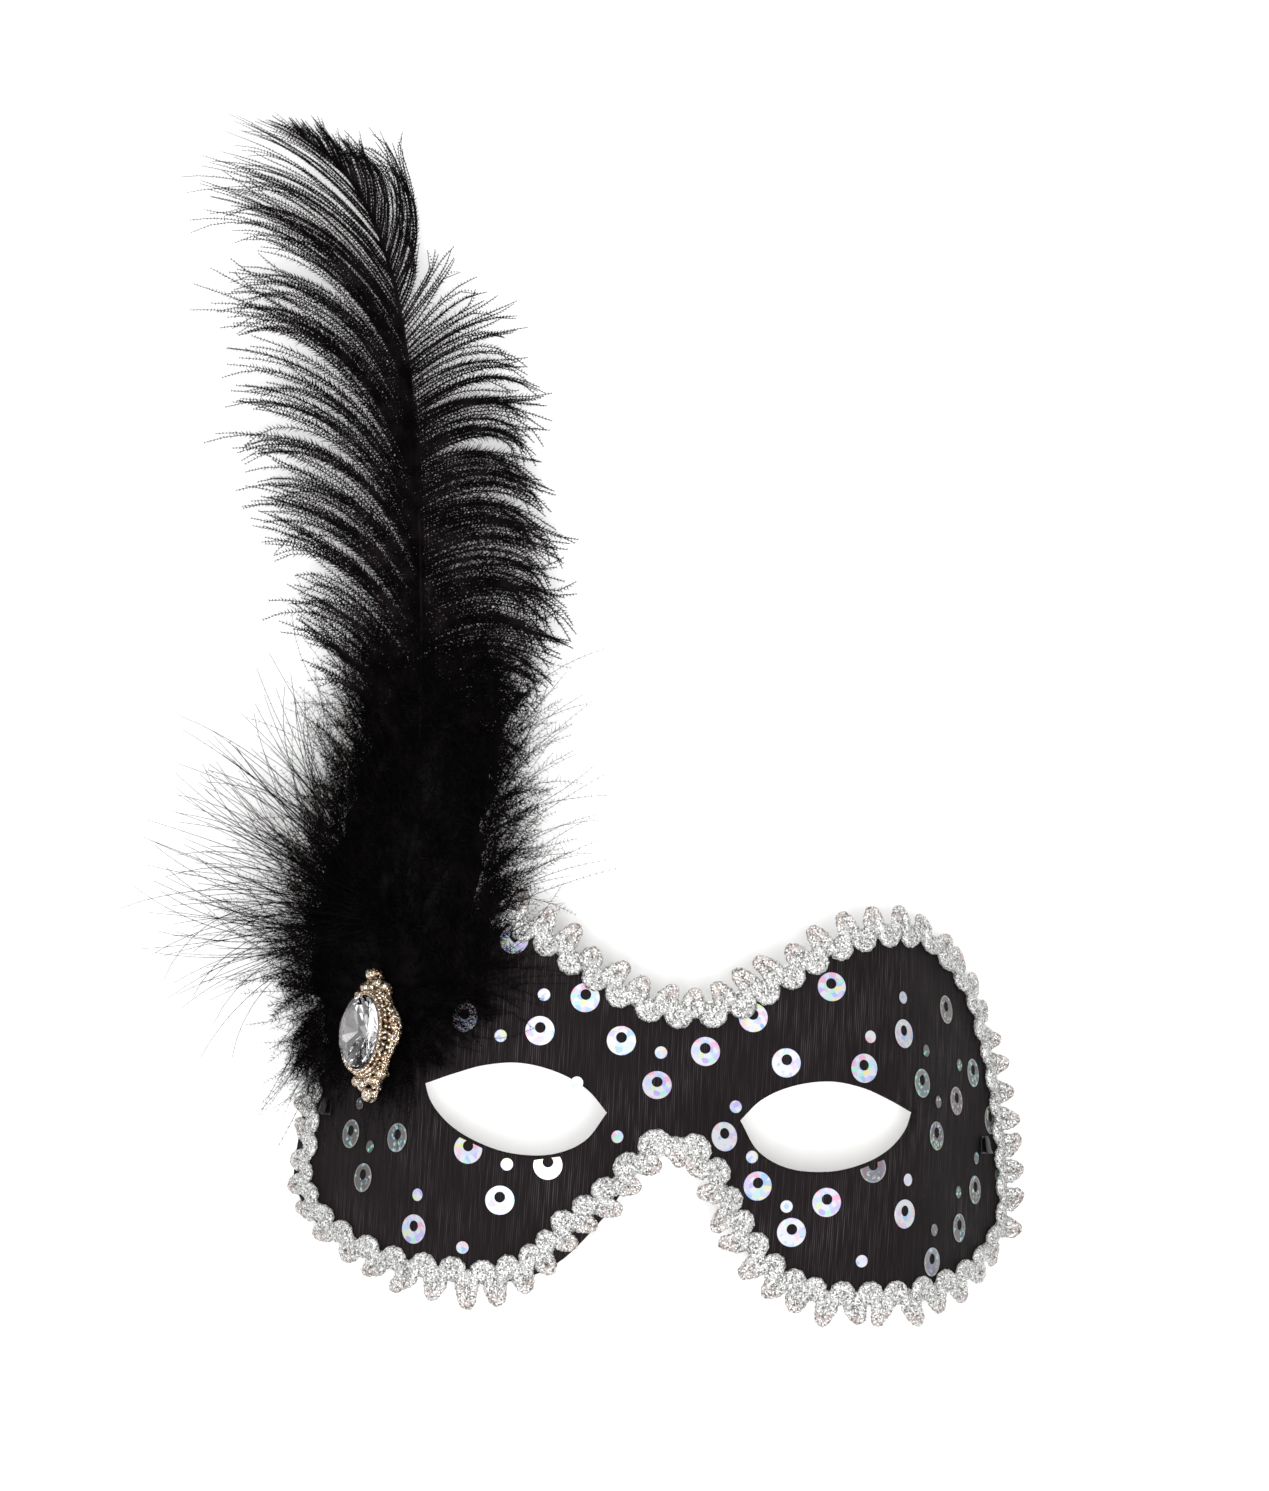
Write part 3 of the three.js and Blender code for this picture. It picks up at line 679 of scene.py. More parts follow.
    def eye_radius(self, way: Array) -> Array:
        """Distances of the right eye hole's edge from its centre in plan directions."""
        angle = np.arctan2(way[..., 1], way[..., 0])
        return np.interp(angle, self._eye_angles, self._eye_radii, period=2 * math.pi)

    def in_eye(self, points: Array, side: Side, margin: float) -> Array:
        """Whether points lie over an eye hole or nearer to it than a margin."""
        spoke = points[..., :2] * np.array([side.value, 1.0]) - self.EYE_CENTRE
        return np.linalg.norm(spoke, axis=-1) < self.eye_radius(spoke) + margin

    def columns(self, inset: float, rim_steps: int, midline_steps: int) -> tuple[Array, Array, Array]:
        """Spokes of the right half from the eye hole to the edge and the midline.

        Args:
            inset: Distance of their outer ends from the cut edge.
            rim_steps: Spokes along the edge.
            midline_steps: Spokes along the midline.

        Returns:
            Inner ends, outer ends, and whether a spoke ends at the edge.
        """
        share = np.arange(rim_steps + 1) * 0.5 / rim_steps
        outer = self.walk(share, np.full(len(share), inset))
        outer[[0, -1], 0] = 0.0
        middle = np.linspace(outer[-1, 1], outer[0, 1], midline_steps + 1)[1:-1]
        outer = np.concatenate([outer, np.stack([np.zeros_like(middle), middle], axis=-1)])
        way = unit(outer - self.EYE_CENTRE)
        inner = self.EYE_CENTRE + way * self.eye_radius(way)[..., None]
        for corner in (np.array(self.EYE_UPPER[0]), np.array(self.EYE_LOWER[0])):
            inner[np.argmax(way @ unit(corner - self.EYE_CENTRE))] = corner
        at_edge = np.arange(len(outer)) < rim_steps
        return inner, outer, at_edge

    def across(self, x: Array) -> Array:
        """Length of surface between the midline and a place across the face.

        Args:
            x: Places across the face.

        Returns:
            The lengths, negative on the left.
        """
        steps = np.linspace(0, 100, 1001)
        rise = np.gradient(self.form.height(steps, np.zeros_like(steps)), steps)
        length = np.concatenate([[0.0], np.cumsum(np.hypot(1, rise)[1:] * np.diff(steps))])
        return np.sign(x) * np.interp(np.abs(x), steps, length)


# Meshes


def link(thing: Piece) -> Piece:
    """Puts an object in the scene."""
    bpy.context.scene.collection.objects.link(thing)
    return thing


class Maker:
    def __init__(self, mask: MaskForm) -> None:
        """Keeps the form that gives the place of the mask's frame."""
        self.mask = mask

    def mesh(
        self,
        name: str,
        points: Array,
        faces: Faces = (),
        edges: Faces = (),
        smooth: bool = True,
        **values: Array,
    ) -> Piece:
        """Makes an object from points in the mask's frame.

        Args:
            name: Name of the object.
            points: Its vertices.
            faces: Its faces.
            edges: Its loose edges.
            smooth: Whether it is shaded smooth.
            values: Attributes, with one number or vector for each vertex.

        Returns:
            The object, linked to the scene.
        """
        mesh = bpy.data.meshes.new(name)
        mesh.from_pydata(self.mask.to_metres(np.asarray(points)).tolist(), list(edges), list(faces))
        mesh.update()
        mesh.polygons.foreach_set("use_smooth", [smooth] * len(mesh.polygons))
        for key, value in values.items():
            value = np.asarray(value, np.float32)
            kind, field = ("FLOAT", "value") if value.ndim == 1 else ("FLOAT_VECTOR", "vector")
            mesh.attributes.new(key, kind, "POINT").data.foreach_set(field, value.ravel())
        return link(bpy.data.objects.new(name, mesh))

    @staticmethod
    def join(name: str, pieces: Sequence[Piece]) -> Piece:
        """Joins objects into one.

        Args:
            name: Name of the result.
            pieces: Objects with their materials.

        Returns:
            The first object, which now holds all of them.
        """
        with bpy.context.temp_override(active_object=pieces[0], selected_editable_objects=list(pieces)):
            bpy.ops.object.join()
        pieces[0].name = name
        return pieces[0]

    @staticmethod
    def outward(piece: Piece) -> Piece:
        """Merges a piece's doubles and turns all its faces outwards.

        Args:
            piece: The piece.

        Returns:
            The same piece.
        """
        body = bmesh.new()
        body.from_mesh(piece.data)
        bmesh.ops.remove_doubles(body, verts=body.verts, dist=1e-7)
        bmesh.ops.recalc_face_normals(body, faces=body.faces)
        body.to_mesh(piece.data)
        body.free()
        return piece

    @staticmethod
    def hand_over(piece: Piece, slot: Slot, *nodes: str, finish: Optional[Material] = None) -> None:
        """Attaches a finished piece to the body, gives it its material if one is passed, hides the CAD nodes
        that it stands for and logs its triangles.

        Args:
            piece: The piece.
            slot: Not used.
            nodes: CAD nodes that it stands for.
            finish: Its material, if it has none yet.
        """
        if finish:
            piece.data.materials.append(finish)
        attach(piece, BODY)
        if nodes:
            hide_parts(*nodes)
        triangles = sum(len(p.vertices) - 2 for p in piece.data.polygons)
        log.info("%s: %d triangles", piece.name, triangles)


def tube_faces(rows: int, sides: int, closed: bool = False) -> list[list[int]]:
    """Faces of a tube whose vertices stand in rows.

    Args:
        rows: Number of rows.
        sides: Vertices in a row.
        closed: Whether the last row joins the first; otherwise both ends get a face.

    Returns:
        Faces as vertex indices.
    """
    faces = []
    for i in range(rows if closed else rows - 1):
        a, b = i * sides, ((i + 1) % rows) * sides
        faces += [[a + k, a + (k + 1) % sides, b + (k + 1) % sides, b + k] for k in range(sides)]
    if not closed:
        last = (rows - 1) * sides
        faces += [[k for k in reversed(range(sides))], [last + k for k in range(sides)]]
    return faces


# Finishes


@dataclass(frozen=True)
class MouldedWhite:
    """Matte white moulded shell with faint unevenness and a few dull spots."""

    colour: Colour = (0.80, 0.79, 0.77)
    shade: Colour = (0.70, 0.69, 0.67)
    blotch: float = 14.0
    grain: float = 0.6

    def material(self) -> Material:
        """Builds the material.

        Returns:
            The material.
        """
        paint = Paint("moulded_white")
        place = paint.place()
        cloud = paint.noise(place, self.blotch, 3.0)
        grain = paint.noise(place, self.grain)
        return paint.surface(
            Base_Color=paint.mix(cloud.ramp(0.35, 0.7), self.colour, self.shade),
            Roughness=cloud.ramp(0.3, 0.7, 0.5, 0.65),
            Normal=paint.bump(grain, 0.02, 0.6),
        )


@dataclass(frozen=True)
class RibbedFabric:
    """Black fabric with fine upright ribs whose threads carry a lighter painted sheen that comes and goes
    along their length.
    """

    dark: Colour = (0.0100, 0.0078, 0.0082)
    # Colour of the painted sheen on the ribs.
    light: Colour = (0.062, 0.052, 0.056)
    rib_pitch: float = 0.50
    break_length: float = 11.0
    patch: float = 18.0
    weft_pitch: float = 0.4

    def material(self) -> Material:
        """Builds the material.

        Returns:
            The material.
        """
        paint = Paint("ribbed_fabric")
        across, along, _ = paint.parts(paint.out(paint.node("ShaderNodeUVMap", {"uv_map": "Weave"}), "UV"))
        rib = ((across * (2 * math.pi / self.rib_pitch)).sine() * 0.5 + 0.5).ramp(0.2, 1.0)
        stretched = paint.together(across / self.rib_pitch, along / self.break_length)
        broken = paint.noise(stretched, 1.0, 4.0).ramp(0.40, 0.70)
        patch = paint.noise(paint.place(), self.patch, 3.0).ramp(0.35, 0.68, 0.3, 1.0)
        weft = ((along * (2 * math.pi / self.weft_pitch)).sine() * 0.5 + 0.5) * 0.3
        # Painted sheen on the ribs: broken along them, in broad patches, and weaker where the weft crosses.
        painted_glint = rib * broken * patch * (1.0 - weft)
        return paint.surface(
            Base_Color=paint.mix(painted_glint, self.dark, self.light),
            Roughness=painted_glint.ramp(0.0, 1.0, 0.75, 0.55),
            Specular_IOR_Level=0.05,
            Normal=paint.bump(rib + weft, 0.06, 0.7),
        )


@dataclass(frozen=True)
class SilverThread:
    """Metallic thread wound round a core: small grains with painted glints and painted shade, painted shade
    in the crevices between them, warmer in the picots.
    """

    # bright is the colour of the painted glints, dark that of the painted shade.
    bright: Colour = (0.88, 0.89, 0.88)
    middle: Colour = (0.47, 0.475, 0.465)
    dark: Colour = (0.13, 0.12, 0.115)
    warm: Colour = (0.49, 0.39, 0.36)
    grain: float = 0.38

    def material(self) -> Material:
        """Builds the material.

        Returns:
            The material.
        """
        paint = Paint("silver_thread")
        distance, colour = paint.cells(paint.place(), self.grain)
        painted_glint_share, shade, _ = paint.parts(colour)
        base = paint.mix(paint.attribute("outer") * 0.7, self.middle, self.warm)
        # Painted glints: a share of the grains takes the bright colour.
        base = paint.mix(painted_glint_share.ramp(0.42, 0.72), base, self.bright)
        # Painted shade: another share of the grains takes the dark colour.
        base = paint.mix(shade.ramp(0.74, 0.9), base, self.dark)
        # Painted shade in the crevices: the dark colour towards the edges of the grains.
        base = paint.mix(distance.ramp(0.42, 0.85, 0.0, 0.7), base, self.dark)
        return paint.surface(
            Base_Color=base,
            Metallic=0.2,
            Roughness=painted_glint_share.ramp(0.3, 0.9, 0.55, 0.28),
            Normal=paint.bump(1.0 - distance, 0.22, 0.8),
        )


@dataclass(frozen=True)
class HologramFoil:
    """Foil with pastel patches where it faces up; where it is tilted, painted shade with a lighter painted
    highlight on the rim and a few painted coloured glints.
    """

    patch: float = 1.25
    painted_glint_size: float = 0.7
    white: Colour = (0.50, 0.51, 0.545)
    # The next colours paint tilted sequins: painted shade, a lighter painted highlight on the rim, and
    # painted coloured glints.
    dark: Colour = (0.052, 0.047, 0.047)
    rim: Colour = (0.20, 0.185, 0.175)
    painted_rim_radii: Pair = (2.9, 3.45)
    painted_shade_tilts: Pair = (0.26, 0.42)
    pastel: Stops = (
        (0.0, (0.15, 0.32, 0.66)), (0.2, (0.36, 0.46, 0.64)), (0.38, (0.60, 0.24, 0.38)),
        (0.5, (0.52, 0.52, 0.53)), (0.62, (0.32, 0.27, 0.62)), (0.74, (0.50, 0.49, 0.58)),
        (0.86, (0.22, 0.58, 0.43)), (1.0, (0.64, 0.50, 0.18)),
    )
    painted_glint: Stops = (
        (0.0, (0.10, 0.50, 0.20)), (0.35, (0.14, 0.50, 0.36)), (0.55, (0.18, 0.36, 0.50)),
        (0.7, (0.25, 0.50, 0.22)), (0.8, (0.42, 0.20, 0.55)), (1.0, (0.60, 0.20, 0.28)),
    )

    def material(self) -> Material:
        """Builds the material.

        Returns:
            The material.
        """
        paint = Paint("hologram_foil")
        local = paint.out(paint.node("ShaderNodeAttribute", {"attribute_name": "on_sequin"}), "Vector")
        seed, tilt = paint.attribute("seed"), paint.attribute("tilt")
        place = paint.vector("ADD", local, paint.together(seed * 41.0, seed * 17.0, seed * 7.0))
        _, random = paint.cells(place, self.patch)
        hue, amount, _ = paint.parts(random)
        pastel = paint.stops(hue, self.pastel)
        vivid = amount.ramp(0.2, 0.6) * seed.ramp(0.1, 0.8, 0.75, 1.0)
        facing = paint.mix(vivid, self.white, pastel)
        # Colour of the painted glints, one main hue for each sequin.
        colour = paint.stops(amount * 0.35 + seed * 0.65, self.painted_glint)
        length = paint.node("ShaderNodeVectorMath", {"operation": "LENGTH"}, {0: local})
        radius = paint.number(length, "Value")
        # Painted shade of a tilted sequin, lighter towards its rim as a painted highlight, with painted
        # glints in a few small cells.
        painted_shade_look = paint.mix(radius.ramp(*self.painted_rim_radii), self.dark, self.rim)
        _, painted_glint_cells = paint.cells(place, self.painted_glint_size)
        painted_shade_look = paint.mix(paint.parts(painted_glint_cells)[0].ramp(0.78, 0.92), painted_shade_look, colour)
        # The steeper a sequin tilts, the more painted shade it takes in place of the facing colour.
        colour = paint.mix(tilt.ramp(*self.painted_shade_tilts), facing, painted_shade_look)
        return paint.surface(Base_Color=colour, Metallic=0.1, Roughness=0.35)


@dataclass(frozen=True)
class ChampagneGold:
    """Pale cast gold with painted shade, a very dark brown, in its recesses and between its pebbles, and
    painted sparkles in small cells.
    """

    bright: Colour = (0.66, 0.49, 0.34)
    # Colour of the painted shade in the recesses.
    painted_recess_shade: Colour = (0.018, 0.010, 0.007)
    # Colour of the painted sparkles.
    painted_sparkle: Colour = (1.0, 0.93, 0.82)
    grain: float = 0.26
    pebble: float = 0.85
    facet: float = 0.5

    def material(self) -> Material:
        """Builds the material.

        Returns:
            The material.
        """
        paint = Paint("champagne_gold")
        place = paint.place()
        raised = paint.attribute("raised")
        wear_and_shade = paint.noise(place, self.grain, 3.0)
        distance, _ = paint.cells(place, self.pebble)
        # Painted shade: the dark colour fills the recesses, the edges of the pebbles and the low patches of
        # the noise.
        share = (raised + wear_and_shade * 2.4 - distance * 0.9 - 0.95).ramp(0.3, 0.9)
        painted_glint_share, lean, _ = paint.parts(paint.cells(place, self.facet)[1])
        # Painted sparkles: a share of the small cells takes a near-white colour.
        bright = paint.mix(painted_glint_share.ramp(0.55, 0.8), self.bright, self.painted_sparkle)
        return paint.surface(
            Base_Color=paint.mix(share, self.painted_recess_shade, bright),
            Metallic=1.0,
            Roughness=wear_and_shade.ramp(0.3, 0.7, 0.10, 0.24),
            Normal=paint.bump(wear_and_shade * 0.45 - distance + lean * 0.3, 0.24, 1.0),
        )


@dataclass(frozen=True)
class ClearGlass:
    """Clear cut glass."""

    colour: Colour = (0.97, 0.98, 1.0)
    index: float = 1.54

    def material(self) -> Material:
        """Builds the material."""
        paint = Paint("clear_glass")
        return paint.surface(Base_Color=self.colour, Roughness=0.0, IOR=self.index, Transmission_Weight=1.0)


@dataclass(frozen=True)
class MirrorFoil:
    """Silver foil behind the stone."""

    colour: Colour = (0.32, 0.30, 0.295)

    def material(self) -> Material:
        """Builds the material.

        Returns:
            The material.
        """
        paint = Paint("mirror_foil")
        wrinkle = paint.bump(paint.noise(paint.place(), 1.6), 0.2, 0.15)
        return paint.surface(Base_Color=self.colour, Metallic=1.0, Roughness=0.45, Normal=wrinkle)


@dataclass(frozen=True)
class Satin:
    """Glossy black ribbon with a fine weave across it, whose ridges carry a little painted sheen."""

    colour: Colour = (0.004, 0.004, 0.005)
    # Colour of the painted sheen on the weave's ridges.
    ridge: Colour = (0.012, 0.012, 0.014)
    thread: float = 0.22

    def material(self) -> Material:
        """Builds the material.

        Returns:
            The material.
        """
        paint = Paint("black_satin")
        _, along, _ = paint.parts(paint.place())
        thread = (along * (2 * math.pi / self.thread)).sine() * 0.5 + 0.5
        return paint.surface(
            # Painted sheen: the ridges of the weave take the lighter colour.
            Base_Color=paint.mix(thread * 0.4, self.colour, self.ridge),
            Roughness=thread.ramp(0.0, 1.0, 0.30, 0.42),
            Specular_IOR_Level=0.25,
            Normal=paint.bump(thread, 0.03, 0.5),
        )


@dataclass(frozen=True)
class BlackFeather:
    """Dyed black feather, a little bluish in streaks of painted highlight that noise lays out."""

    name: str = "black_feather"
    dark: Colour = (0.0018, 0.0012, 0.0013)
    # Colour of the painted highlight streaks.
    light: Colour = (0.010, 0.0075, 0.0085)
    roughness: float = 0.6

    def material(self) -> Material:
        """Builds the material.

        Returns:
            The material.
        """
        paint = Paint(self.name)
        painted_highlight_streak = paint.noise(paint.place(), 6.0, 3.0)
        return paint.surface(
            # Painted highlights: lighter streaks where the noise is high.
            Base_Color=paint.mix(painted_highlight_streak.ramp(0.4, 0.75), self.dark, self.light),
            Roughness=self.roughness,
            Specular_IOR_Level=0.04,
        )


# Shell and fabric


@dataclass
class Sheets:
    """The moulded shell and the fabric glued over it."""

    maker: Maker
    rim_steps: int = 112
    midline_steps: int = 18
    rings: int = 26
    edge_radius: float = 0.35
    cover_inset: float = 0.7
    cover_gap: float = 0.05
    cover_thickness: float = 0.42
    turn_in: float = 4.0
    hem: float = 0.7
    merged: float = 1e-3

    def _sheet(self, name: str, inset: float, profile: Callable[[Array], Array]) -> Piece:
        """Sweeps a closed section along the spokes of both halves.

        Args:
            name: Name of the object.
            inset: Distance of the outer ends from the cut edge.
            profile: Gives, for the spokes' lengths, the loop of distances from the eye hole and offsets.

        Returns:
            The closed sheet.
        """
        mask = self.maker.mask
        inner, outer, at_edge = mask.columns(inset, self.rim_steps, self.midline_steps)
        way = unit(outer - inner)
        loop = profile(np.linalg.norm(outer - inner, axis=1))
        x = inner[:, None, 0] + way[:, None, 0] * loop[..., 0]
        y = inner[:, None, 1] + way[:, None, 1] * loop[..., 0]
        points = mask.form.point(x, y, loop[..., 1])
        low = np.minimum(points[..., 2], 0.0)
        points[..., 0] += low / mask.form.temple_slope
        points[..., 2] -= low
        on_midline = (outer[:, :1] == 0) & (np.abs(points[..., 0]) < self.merged)
        points[on_midline, 0] = 0.0
        count, sides = points.shape[:2]
        faces = []
        for i, k in np.ndindex(count, sides):
            if at_edge[i] or k != sides // 2 - 1:
                a, b, m = i * sides, (i + 1) % count * sides, (k + 1) % sides
                faces.append([a + k, b + k, b + m, a + m])
        both = faces + [[count * sides + v for v in reversed(face)] for face in faces]
        halves = np.concatenate([points, points * [-1.0, 1.0, 1.0]])
        return self.maker.outward(self.maker.mesh(name, halves.reshape(-1, 3), both))

    def _shell_loop(self, lengths: Array) -> Array:
        """Section of the shell with rounded edges.

        Args:
            lengths: Lengths of the spokes.

        Returns:
            Loop of distances and offsets for each spoke.
        """
        r, wall = self.edge_radius, self.maker.mask.form.wall
        near = np.array([0.0, 0.3, 1.0]) * r
        drop = r - np.sqrt(np.maximum(r * r - (r - near) ** 2, 0.0))
        share = np.linspace(0, 1, self.rings)[1:-1]
        inner = np.broadcast_to(near, (len(lengths), len(near)))
        middle = lengths[:, None] * (share * 0.98 + 0.01)
        distance = np.concatenate([inner, middle, lengths[:, None] - near[::-1]], axis=1)
        top = np.concatenate([-drop, np.zeros(len(share)), -drop[::-1]])
        top = np.broadcast_to(top, distance.shape)
        loop = np.concatenate([distance, distance[:, ::-1]], axis=1)
        offset = np.concatenate([top, -wall - top[:, ::-1]], axis=1)
        return np.stack([loop, offset], axis=-1)

    def _cover_loop(self, lengths: Array) -> Array:
        """Section of the fabric, which turns round the eye hole's edge onto the back.

        Args:
            lengths: Lengths of the spokes.

        Returns:
            Loop of distances and offsets for each spoke.
        """
        gap, cloth, wall = self.cover_gap, self.cover_thickness, self.maker.mask.form.wall
        share = np.linspace(0, 1, self.rings)[1:]
        sides = []
        for out in (gap + cloth, gap):
            turn, rise = np.array([
                (self.turn_in, -wall - out), (0.8, -wall - out), (0.2, -wall - out * 0.85),
                (-out * 0.8, -wall), (-out, -wall * 0.7), (-out, -wall * 0.3),
                (-out * 0.7, 0.1), (0.15, out * 0.9), (self.hem, out),
            ]).T
            first = np.broadcast_to(turn, (len(lengths), len(turn)))
            distance = np.concatenate([first, self.hem + (lengths[:, None] - self.hem) * share], axis=1)
            offset = np.broadcast_to(np.concatenate([rise, np.full(len(share), out)]), distance.shape)
            sides.append(np.stack([distance, offset], axis=-1))
        return np.concatenate([sides[0], sides[1][:, ::-1]], axis=1)

    def _flatten(self, cover: Piece) -> None:
        """Gives the fabric a UV map in millimetres, measured along its surface from the midline.

        Args:
            cover: The fabric.
        """
        mesh, mask = cover.data, self.maker.mask
        points, corners = np.zeros(len(mesh.vertices) * 3), np.zeros(len(mesh.loops), np.int32)
        mesh.vertices.foreach_get("co", points)
        mesh.loops.foreach_get("vertex_index", corners)
        place = points.reshape(-1, 3) / MM - mask.shift
        flat = np.stack([mask.across(place[:, 0]), place[:, 1]], axis=-1)
        mesh.uv_layers.new(name="Weave").data.foreach_set("uv", flat[corners].astype(np.float32).ravel())

    def build(self) -> None:
        """Builds, dresses and hands over the shell and the fabric."""
        shell = self._sheet("mask_shell_moulding", 0.0, self._shell_loop)
        self.maker.hand_over(shell, Slot.SHELL, "mask_shell", finish=MouldedWhite().material())
        cover = self._sheet("ribbed_cover", self.cover_inset, self._cover_loop)
        self._flatten(cover)
        self.maker.hand_over(cover, Slot.COVER, "fabric_cover", finish=RibbedFabric().material())


# Braid


@dataclass(frozen=True)
class Cord:
    """One cord of the braid, by the points of one repeat: place along it, distance inwards and lift."""

    repeat: Triples
    width: float
    picot_width: float
    height: float


@dataclass(frozen=True)
class Nudge:
    """Stretch where the braid is glued further inwards, or where its picots are shorter."""

    place: Pair
    length: float
    inwards: float = 0.0
    shorter: float = 0.0


@dataclass
class Braid:
    """Gimp braid of a thick cord, with lobes on the face and picots past the edge, over a broad core."""

    maker: Maker
    pitch: float = 6.9
    lobe_centre: float = 2.85
    lobe_radius: float = 1.95
    core_centre: float = 1.8
    core_wave: float = 0.55
    core_width: float = 4.3
    core_points: int = 6
    picot_centre: float = -2.95
    picot_radius: float = 0.8
    lean: float = 0.45
    picot_foot: float = 1.45
    floor: float = 2.1
    step: float = 0.5
    sides: int = 8
    swell: float = 0.10
    twist: float = 1.3
    uneven_place: float = 0.04
    uneven_picot: float = 0.16
    uneven_lobe: float = 0.03
    nudges: tuple[Nudge, ...] = (
        Nudge((-21.5, -31.5), 14.5, 4.2, 0.5),
        Nudge((-90.0, -14.0), 21.0, 4.8),
        Nudge((12.0, 31.0), 16.0, 0.8),
        Nudge((80.0, 23.0), 12.0, 2.6),
        Nudge((88.0, -8.0), 12.0, -0.9),
        Nudge((85.0, -30.0), 8.0, 1.0),
        Nudge((0.0, -9.0), 13.0, 0.0, 0.4),
    )

    def _outer_cord(self) -> Cord:
        """Cord that runs round each lobe and out into each picot.

        Returns:
            The cord.
        """
        half = self.pitch / 2
        lobe, picot = self.lobe_radius, self.picot_radius
        turn = np.radians([0, 36, 72, 108, 144, 180])
        arc = [(-lobe * math.cos(a), self.lobe_centre + lobe * math.sin(a), 1.45) for a in turn]
        legs = [(lobe + 0.05, 0.6, 1.5), (half - self.picot_foot, -1.0, 1.35)]
        tip = [(half - picot * math.cos(a), self.picot_centre - picot * math.sin(a), 1.3) for a in turn[::2]]
        back = [(self.pitch - x, y, z) for x, y, z in reversed(legs)]
        return Cord((*arc, *legs, *tip, *back), width=2.75, picot_width=2.35, height=2.0)

    def _core(self) -> Cord:
        """Broad flat core that waves a little into each lobe.

        Returns:
            The core.
        """
        angle = turns(self.core_points)
        wave = self.core_centre + self.core_wave * np.cos(angle)
        repeat = zip(angle / (2 * math.pi) * self.pitch, wave, np.ones(self.core_points))
        return Cord(tuple(repeat), self.core_width, self.core_width, height=2.0)

    def _path(self, cord: Cord, seed: int) -> dict[str, Array]:
        """Runs a cord once round the mask.

        Args:
            cord: The cord.
            seed: Seed of the random numbers.

        Returns:
            Points along the closed cord, and the attributes that they carry.
        """
        mask = self.maker.mask
        around = mask.outline.length
        repeats = round(around / self.pitch)
        repeat = np.array(cord.repeat) * [around / repeats / self.pitch, 1.0, 1.0]
        rng = np.random.default_rng(seed)
        rows = []
        for i in range(repeats):
            jitter = rng.normal(0, 1, 4)
            row = repeat.copy()
            row[:, 0] += (i + self.uneven_place * jitter[0]) * around / repeats
            row[:, 0] += self.lean * jitter[3] * np.clip(-row[:, 1] - 1, 0, 2)
            picot, lobe = 1 + self.uneven_picot * jitter[1], 1 + self.uneven_lobe * jitter[2]
            row[:, 1] *= np.where(row[:, 1] < -1, picot, lobe)
            rows.append(row)
        flat = np.concatenate(rows)
        ahead = np.array([[around, 0.0, 0.0]])
        dense = Spline(np.concatenate([flat[-1:] - ahead, flat, flat[:1] + ahead]))
        count = int(dense.length / self.step)
        start = dense.lengths[dense.SAMPLES] / dense.length
        along, inwards, lift = dense.at(start + (1 - start) * np.arange(count) / count).T
        share = along / around
        edge, inset = mask.edge(share), inwards.copy()
        for nudge in self.nudges:
            near = np.exp(-np.sum((edge - nudge.place) ** 2, axis=1) / nudge.length**2)
            inset = np.where(inset < 0, inset * (1 - nudge.shorter * near), inset) + nudge.inwards * near
        base = mask.walk(share, np.maximum(inset, 0.0))
        outer = np.interp(inwards, [-2.0, -0.6], [1.0, 0.0])
        width = cord.width + (cord.picot_width - cord.width) * outer
        swell = 1 + self.swell * np.sin(np.arange(count) * self.step * 2 * math.pi / self.twist)
        return {
            "points": mask.beside(share, inset, lift, self.floor),
            "face_normal": mask.form.normal(base[:, 0], base[:, 1]),
            "width": width * swell * MM,
            "outer": outer,
        }

    def _recipe(self) -> Recipe:
        """Tree that sweeps a flattened round section along a cord.

        Returns:
            The tree.
        """
        recipe = Recipe("cord_sweep")
        height, sides = recipe.size("Height"), recipe.count("Sides")
        curve = recipe.node("GeometryNodeMeshToCurve", None, {"Mesh": recipe.carrier})
        inputs = {"Curve": curve, "Normal": recipe.read("face_normal", "FLOAT_VECTOR")}
        upright = recipe.node("GeometryNodeSetCurveNormal", {"mode": "FREE"}, inputs)
        circle = recipe.node("GeometryNodeCurvePrimitiveCircle", None, {"Resolution": sides, "Radius": 0.5})
        inputs = {"Geometry": circle, "Scale": recipe.together(height, 1.0, 1.0)}
        section = recipe.node("GeometryNodeTransform", None, inputs)
        inputs = {"Curve": upright, "Profile Curve": section, "Scale": recipe.read("width")}
        swept = recipe.node("GeometryNodeCurveToMesh", None, inputs)
        recipe.close(recipe.node("GeometryNodeSetShadeSmooth", None, {"Geometry": swept}))
        return recipe

    def build(self) -> None:
        """Builds, dresses and hands over the braid."""
        recipe = self._recipe()
        thread = SilverThread().material()
        swept = []
        for name, cord, seed in (("outer_cord", self._outer_cord(), 5), ("core", self._core(), 6)):
            path = self._path(cord, seed)
            count = len(path["points"])
            edges = [(i, (i + 1) % count) for i in range(count)]
            carrier = self.maker.mesh(f"{name}_line", edges=edges, **path)
            values = {"Height": cord.height / cord.width, "Sides": self.sides, "Finish": thread}
            swept.append(recipe.run(name, carrier, values))
        self.maker.hand_over(self.maker.join("silver_gimp_braid", swept), Slot.BRAID, "braid_trim")


# Sequins


